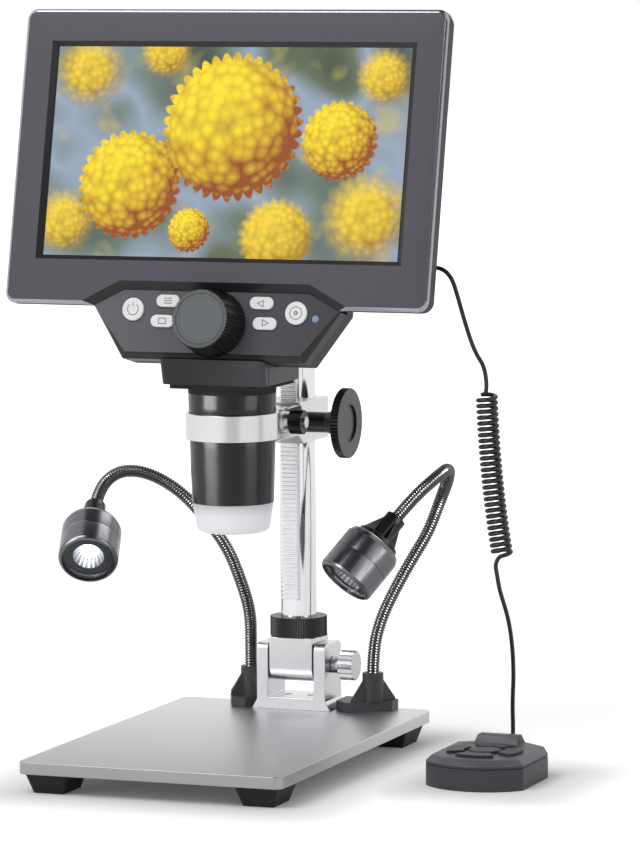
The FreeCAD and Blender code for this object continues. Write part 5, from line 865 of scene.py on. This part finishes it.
def display_piece():
    """The display: a thin glass slab in the frame, whose lit part carries the picture."""
    low, high = in_box("lcd_panel")
    form = bmesh.new()
    bmesh.ops.create_cube(form, size=1.0)
    size = high - low
    bmesh.ops.scale(form, vec=size * MM, verts=form.verts)
    bmesh.ops.translate(form, vec=(high + low) / 2 * MM, verts=form.verts)
    front = [face for face in form.faces if face.normal.z > 0.9]
    border = ((size.x - PICTURE_WIDTH) / 2 + PICTURE_LAP) * MM
    bmesh.ops.inset_region(form, faces=front, thickness=border, use_even_offset=True)
    layer = form.loops.layers.uv.new("picture")
    for face in form.faces:
        for loop in face.loops:
            spot = loop.vert.co / MM
            loop[layer].uv = (spot.x / PICTURE_WIDTH + 0.5, spot.y / PICTURE_TALL + 0.5)
    for face in front:
        face.material_index = 1
    corners = [edge for edge in form.edges if edge.is_manifold and edge.calc_face_angle() > 1]
    bmesh.ops.bevel(form, geom=corners, offset=GLASS_EDGE * MM, segments=2, profile=0.5, affect="EDGES",
                    material=-1)
    bmesh.ops.transform(form, matrix=HEAD, verts=form.verts)
    add_piece("display_glass", mesh_of("display_glass", form), [GLOSS, display_picture()], "head",
              ["lcd_panel"])


# Key symbols, the status light and the knob's disc

KEY_TOP = -2.1
SYMBOL_RISE = 0.08
STROKE = 0.32
OPEN_SHARE = 0.72
# Each symbol's place on the head, named by its key
KEY_PLACES = {"power": (-35.2, -64.3), "ok": (35.2, -64.3), "menu": (-20.2, -60.6), "mode": (-22.1, -68.8),
              "up": (20.2, -60.8), "down": (22.1, -68.6)}
STATUS_PLACE = (43.4, -66.4, -3.2)
STATUS_LENS = [(1.5, -0.2), (1.5, 0.1), (1.1, 0.42), (0, 0.55)]
KNOB_PLACE = (0, -69.5, 0)
# The disc in the knob's face as radius and height over the knob's top
KNOB_DISC = [(10.25, -0.5), (10.25, -0.25), (9.95, -0.05), (9.2, -0.02), (8.9, -0.22), (0, -0.26)]


def on_head(place):
    """The matrix of a place on the head."""
    return HEAD @ Matrix.Translation(Vector(place) * MM)


def outlined(sides, radius, stroke=STROKE, turn=0.0, wide=1.0, open_top=False):
    """A thin outline with any number of sides, which may be open at its top."""
    form = bmesh.new()
    bmesh.ops.create_circle(form, cap_ends=True, segments=sides, radius=radius * MM)
    bmesh.ops.rotate(form, matrix=Matrix.Rotation(turn, 3, "Z"), verts=form.verts)
    bmesh.ops.scale(form, vec=(wide, 1, 1), verts=form.verts)
    inner = list(form.faces)
    bmesh.ops.inset_region(form, faces=inner, thickness=stroke * MM, use_even_offset=True, use_boundary=True)
    gone = list(inner)
    if open_top:
        gone += [face for face in form.faces if face not in inner
                 and face.calc_center_median().y > radius * MM * OPEN_SHARE]
    bmesh.ops.delete(form, geom=gone, context="FACES")
    return form


def bar(wide, tall, y=0.0):
    """A short bar of a symbol."""
    form = bmesh.new()
    bmesh.ops.create_grid(form, x_segments=1, y_segments=1, size=0.5)
    bmesh.ops.scale(form, vec=(wide * MM, tall * MM, 1), verts=form.verts)
    bmesh.ops.translate(form, vec=(0, y * MM, 0), verts=form.verts)
    return form


def raised(name, key, forms):
    """Flat forms together as one raised symbol on a key."""
    whole = bmesh.new()
    for form in forms:
        mesh = mesh_of("stroke", form)
        whole.from_mesh(mesh)
        bpy.data.meshes.remove(mesh)
    flat = list(whole.faces)
    bmesh.ops.recalc_face_normals(whole, faces=whole.faces)
    pushed = bmesh.ops.extrude_face_region(whole, geom=flat)
    top = [item for item in pushed["geom"] if isinstance(item, bmesh.types.BMVert)]
    bmesh.ops.translate(whole, vec=(0, 0, SYMBOL_RISE * 2 * MM), verts=top)
    bmesh.ops.recalc_face_normals(whole, faces=whole.faces)
    place = on_head((*KEY_PLACES[key], KEY_TOP - SYMBOL_RISE))
    bmesh.ops.transform(whole, matrix=place, verts=whole.verts)
    add_piece(name, mesh_of(name, whole), [SYMBOL], body_of(key + "_button"))


def key_symbols():
    """A plain symbol on each key, and the status light beside the last one."""
    quarter = math.pi / 2
    raised("power_symbol", "power", [outlined(28, 2.5, open_top=True), bar(STROKE, 1.9, 1.9)])
    raised("confirm_symbol", "ok", [outlined(28, 2.7), outlined(16, 0.9, stroke=0.55)])
    raised("menu_symbol", "menu", [bar(3.4, STROKE, y) for y in (1, 0, -1)])
    raised("mode_symbol", "mode", [outlined(4, 1.75, turn=quarter / 2, wide=1.35)])
    raised("up_symbol", "up", [outlined(3, 1.75, turn=quarter, wide=1.15)])
    raised("down_symbol", "down", [outlined(3, 1.75, turn=-quarter, wide=1.15)])
    lens = turned(STATUS_LENS, 24, on_head(STATUS_PLACE))
    add_piece("status_lens", mesh_of("status_lens", lens), [STATUS], "head")


def knob_cap():
    """The flat grey disc in the face of the focus knob, with its thin rim."""
    top = in_box("focus_knob")[1].z
    profile = [(radius, top + rise) for radius, rise in KNOB_DISC]
    mesh = mesh_of("focus_cap", turned(profile, 64, on_head(KNOB_PLACE)))
    mesh.shade_smooth()
    mesh.set_sharp_from_angle(angle=math.radians(30))
    add_piece("focus_cap", mesh, [KNOB_FACE], body_of("focus_knob"))


for lamp_side in LAMPS:
    lamp_pieces(lamp_side)
dress_nodes()
display_piece()
key_symbols()
knob_cap()


# Floor, light and background, in metres

FLOOR_HALF = 6.0
# The floor's own glow near the object and further out: the distances it rises between, and how bright it is.
# Held low under and around the base plate and the remote, the near glow paints shadow there on top of the
# real shadow
NEAR_GLOW_PAINTED_SHADOW = (0.0, 0.05, 0.05, 0.48)
FAR_GLOW = (0.3, 1.2, 0.0, 0.4)
GLOW_IN_REFLECTIONS = 0.45
SOFT_SURROUND = 0.55
LIGHT_HEIGHT = 0.2


def backdrop_seen(graph):
    """One where the eye, a reflection or a view through glass meets the backdrop, and zero for soft light."""
    path = graph.add("ShaderNodeLightPath").outputs
    seen = graph.math("MAXIMUM", path["Is Camera Ray"], path["Is Glossy Ray"])
    return graph.math("MAXIMUM", seen, path["Is Transmission Ray"])


def distance_to(graph, node):
    """How far a place on the floor lies outside a node's outline."""
    low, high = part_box(node)
    centre, half = (low + high) / 2, (high - low) / 2
    off = graph.vector("ABSOLUTE", graph.vector("SUBTRACT", graph.here(), centre))
    out = graph.vector("MAXIMUM", graph.vector("SUBTRACT", off, half), (0.0, 0.0, 0.0))
    return graph.vector("LENGTH", graph.vector("MULTIPLY", out, (1.0, 1.0, 0.0)))


def floor():
    """A white floor that keeps the shadows, deepens them with painted shadow under and around the base plate
    and the remote, and melts into the white surround further out.
    """
    form = bmesh.new()
    bmesh.ops.create_grid(form, x_segments=1, y_segments=1, size=FLOOR_HALF)
    material = bpy.data.materials.new("floor")
    material.use_nodes = True
    material.node_tree.nodes.clear()
    graph = Graph(material.node_tree)
    cloud = graph.noise(graph.here(), 2.0, 1.0)
    tint = graph.mix(graph.span(cloud, 0.0, 1.0, 0.0, 0.3), (0.9, 0.9, 0.9, 1), (0.94, 0.94, 0.95, 1))
    matt = graph.add("ShaderNodeBsdfDiffuse", {"Color": tint})
    # Painted shadow: the floor's glow is held low near the base plate and the remote
    near = graph.math("MINIMUM", distance_to(graph, "base_plate"), distance_to(graph, "remote_bottom"))
    painted_shadow_glow = graph.span(near, *NEAR_GLOW_PAINTED_SHADOW, smooth=True)
    away = graph.span(near, *FAR_GLOW, smooth=True)
    seen = graph.add("ShaderNodeLightPath").outputs["Is Camera Ray"]
    share = graph.math("MULTIPLY", backdrop_seen(graph), graph.span(seen, 0.0, 1.0, GLOW_IN_REFLECTIONS, 1.0))
    strength = graph.math("MULTIPLY", share, graph.math("ADD", painted_shadow_glow, away))
    glow = graph.add("ShaderNodeEmission", {"Color": WHITE, "Strength": strength})
    both = graph.add("ShaderNodeAddShader", {0: matt.outputs[0], 1: glow.outputs[0]})
    graph.add("ShaderNodeOutputMaterial", {0: both.outputs[0]})
    add_piece("floor", mesh_of("floor", form), [material])


def area_light(name, direction, distance, wide, tall, brightness):
    """A soft box that faces the object, as bright as its brightness times white."""
    data = bpy.data.lights.new(name, "AREA")
    data.shape = "RECTANGLE"
    data.size, data.size_y = wide, tall
    data.energy = brightness * math.pi * wide * tall
    light = bpy.data.objects.new(name, data)
    bpy.context.scene.collection.objects.link(light)
    way = Vector(direction).normalized()
    light.location = way * distance + Vector((0, 0, LIGHT_HEIGHT))
    light.rotation_euler = way.to_track_quat("Z", "Y").to_euler()
    light.visible_camera = False
    return light


def shine_light(name, receivers, *settings):
    """A soft box whose reflection shows on the given pieces alone."""
    light = area_light(name, *settings)
    light.visible_diffuse = False
    lit = bpy.data.collections.new(light.name)
    for receiver in receivers:
        lit.objects.link(bpy.data.objects[receiver])
    light.light_linking.receiver_collection = lit


def dark_arch(reach, half_width, low, sweep):
    """A dark arch from in front of the object to over it, which gloss and metal show as dark streaks."""
    forward = Vector((CAMERA_BACK[0], CAMERA_BACK[1], 0)).normalized()
    axis = forward.cross(Vector((0, 0, 1)))
    centre = Vector((0, 0, low))
    form = bmesh.new()
    ends = [form.verts.new(centre + forward * reach + axis * side) for side in (-half_width, half_width)]
    bmesh.ops.spin(form, geom=[*ends, form.edges.new(ends)], cent=centre, axis=axis, angle=sweep, steps=24)
    material, graph, shader = material_graph("dark arch")
    up = graph.axes(graph.here())["Z"]
    grey = graph.ramp(graph.span(up, 0.1, 0.5), [(0.0, (0.4, 0.4, 0.4, 1)), (1.0, (0.04, 0.04, 0.04, 1))])
    graph.feed(shader, {"Base Color": (0.02, 0.02, 0.02, 1), "Roughness": 1.0, "Emission Color": grey,
                        "Emission Strength": 1.0})
    arch = add_piece("dark_arch", mesh_of("dark_arch", form), [material])
    for ray in ("camera", "diffuse", "shadow", "transmission"):
        setattr(arch, "visible_" + ray, False)


def world():
    """A white surround that lights matt surfaces softly."""
    made = bpy.data.worlds.new("studio")
    bpy.context.scene.world = made
    made.use_nodes = True
    graph = Graph(made.node_tree)
    strength = graph.span(backdrop_seen(graph), 0.0, 1.0, SOFT_SURROUND, 1.0)
    graph.feed(made.node_tree.nodes["Background"], {"Strength": strength, "Color": WHITE})


BARREL = ("lens_barrel_finished",)
DARK_SHINE = ("clamp_nut", "height_knob", "focus_knob", "column_collar",
              "left_lamp_housing_finished", "right_lamp_housing_finished", "left_lamp_socket_finished",
              "right_lamp_socket_finished")
HOSES = ["%s_gooseneck_%s" % (side, stretch) for side in LAMPS for stretch in ("lower", "upper")]
# Each soft box that only some pieces show: those pieces, its direction, distance, width, height, brightness
SHINE_BOXES = {
    "barrel_left": (BARREL, (-0.63, -0.777, 0.1), 0.9, 0.6, 0.9, 18.0),
    "barrel_right": (BARREL, (0.96, -0.29, 0.1), 0.9, 0.5, 0.7, 4.0),
    "left_box": (DARK_SHINE, (-0.63, -0.777, 0.02), 0.9, 0.4, 0.9, 7.0),
    "right_box": (DARK_SHINE, (0.96, -0.29, 0.05), 0.9, 0.35, 0.9, 3.4),
    "back_box": (DARK_SHINE, (0.38, 0.66, 0.65), 1.1, 0.5, 0.5, 3.4),
    "left_glint": (HOSES, (-0.6, -0.8, 0.3), 1.2, 0.5, 0.5, 60.0),
    "right_glint": (HOSES, (0.95, -0.3, 0.4), 1.2, 0.5, 0.5, 60.0),
}

floor()
world()
area_light("key", (-0.35, -0.75, 0.9), distance=1.7, wide=1.0, tall=1.0, brightness=3.8)
for box_name, box_settings in SHINE_BOXES.items():
    shine_light(box_name, *box_settings)
dark_arch(reach=0.95, half_width=0.3, low=0.02, sweep=math.radians(115))

bpy.context.scene.view_settings.view_transform = "Standard"
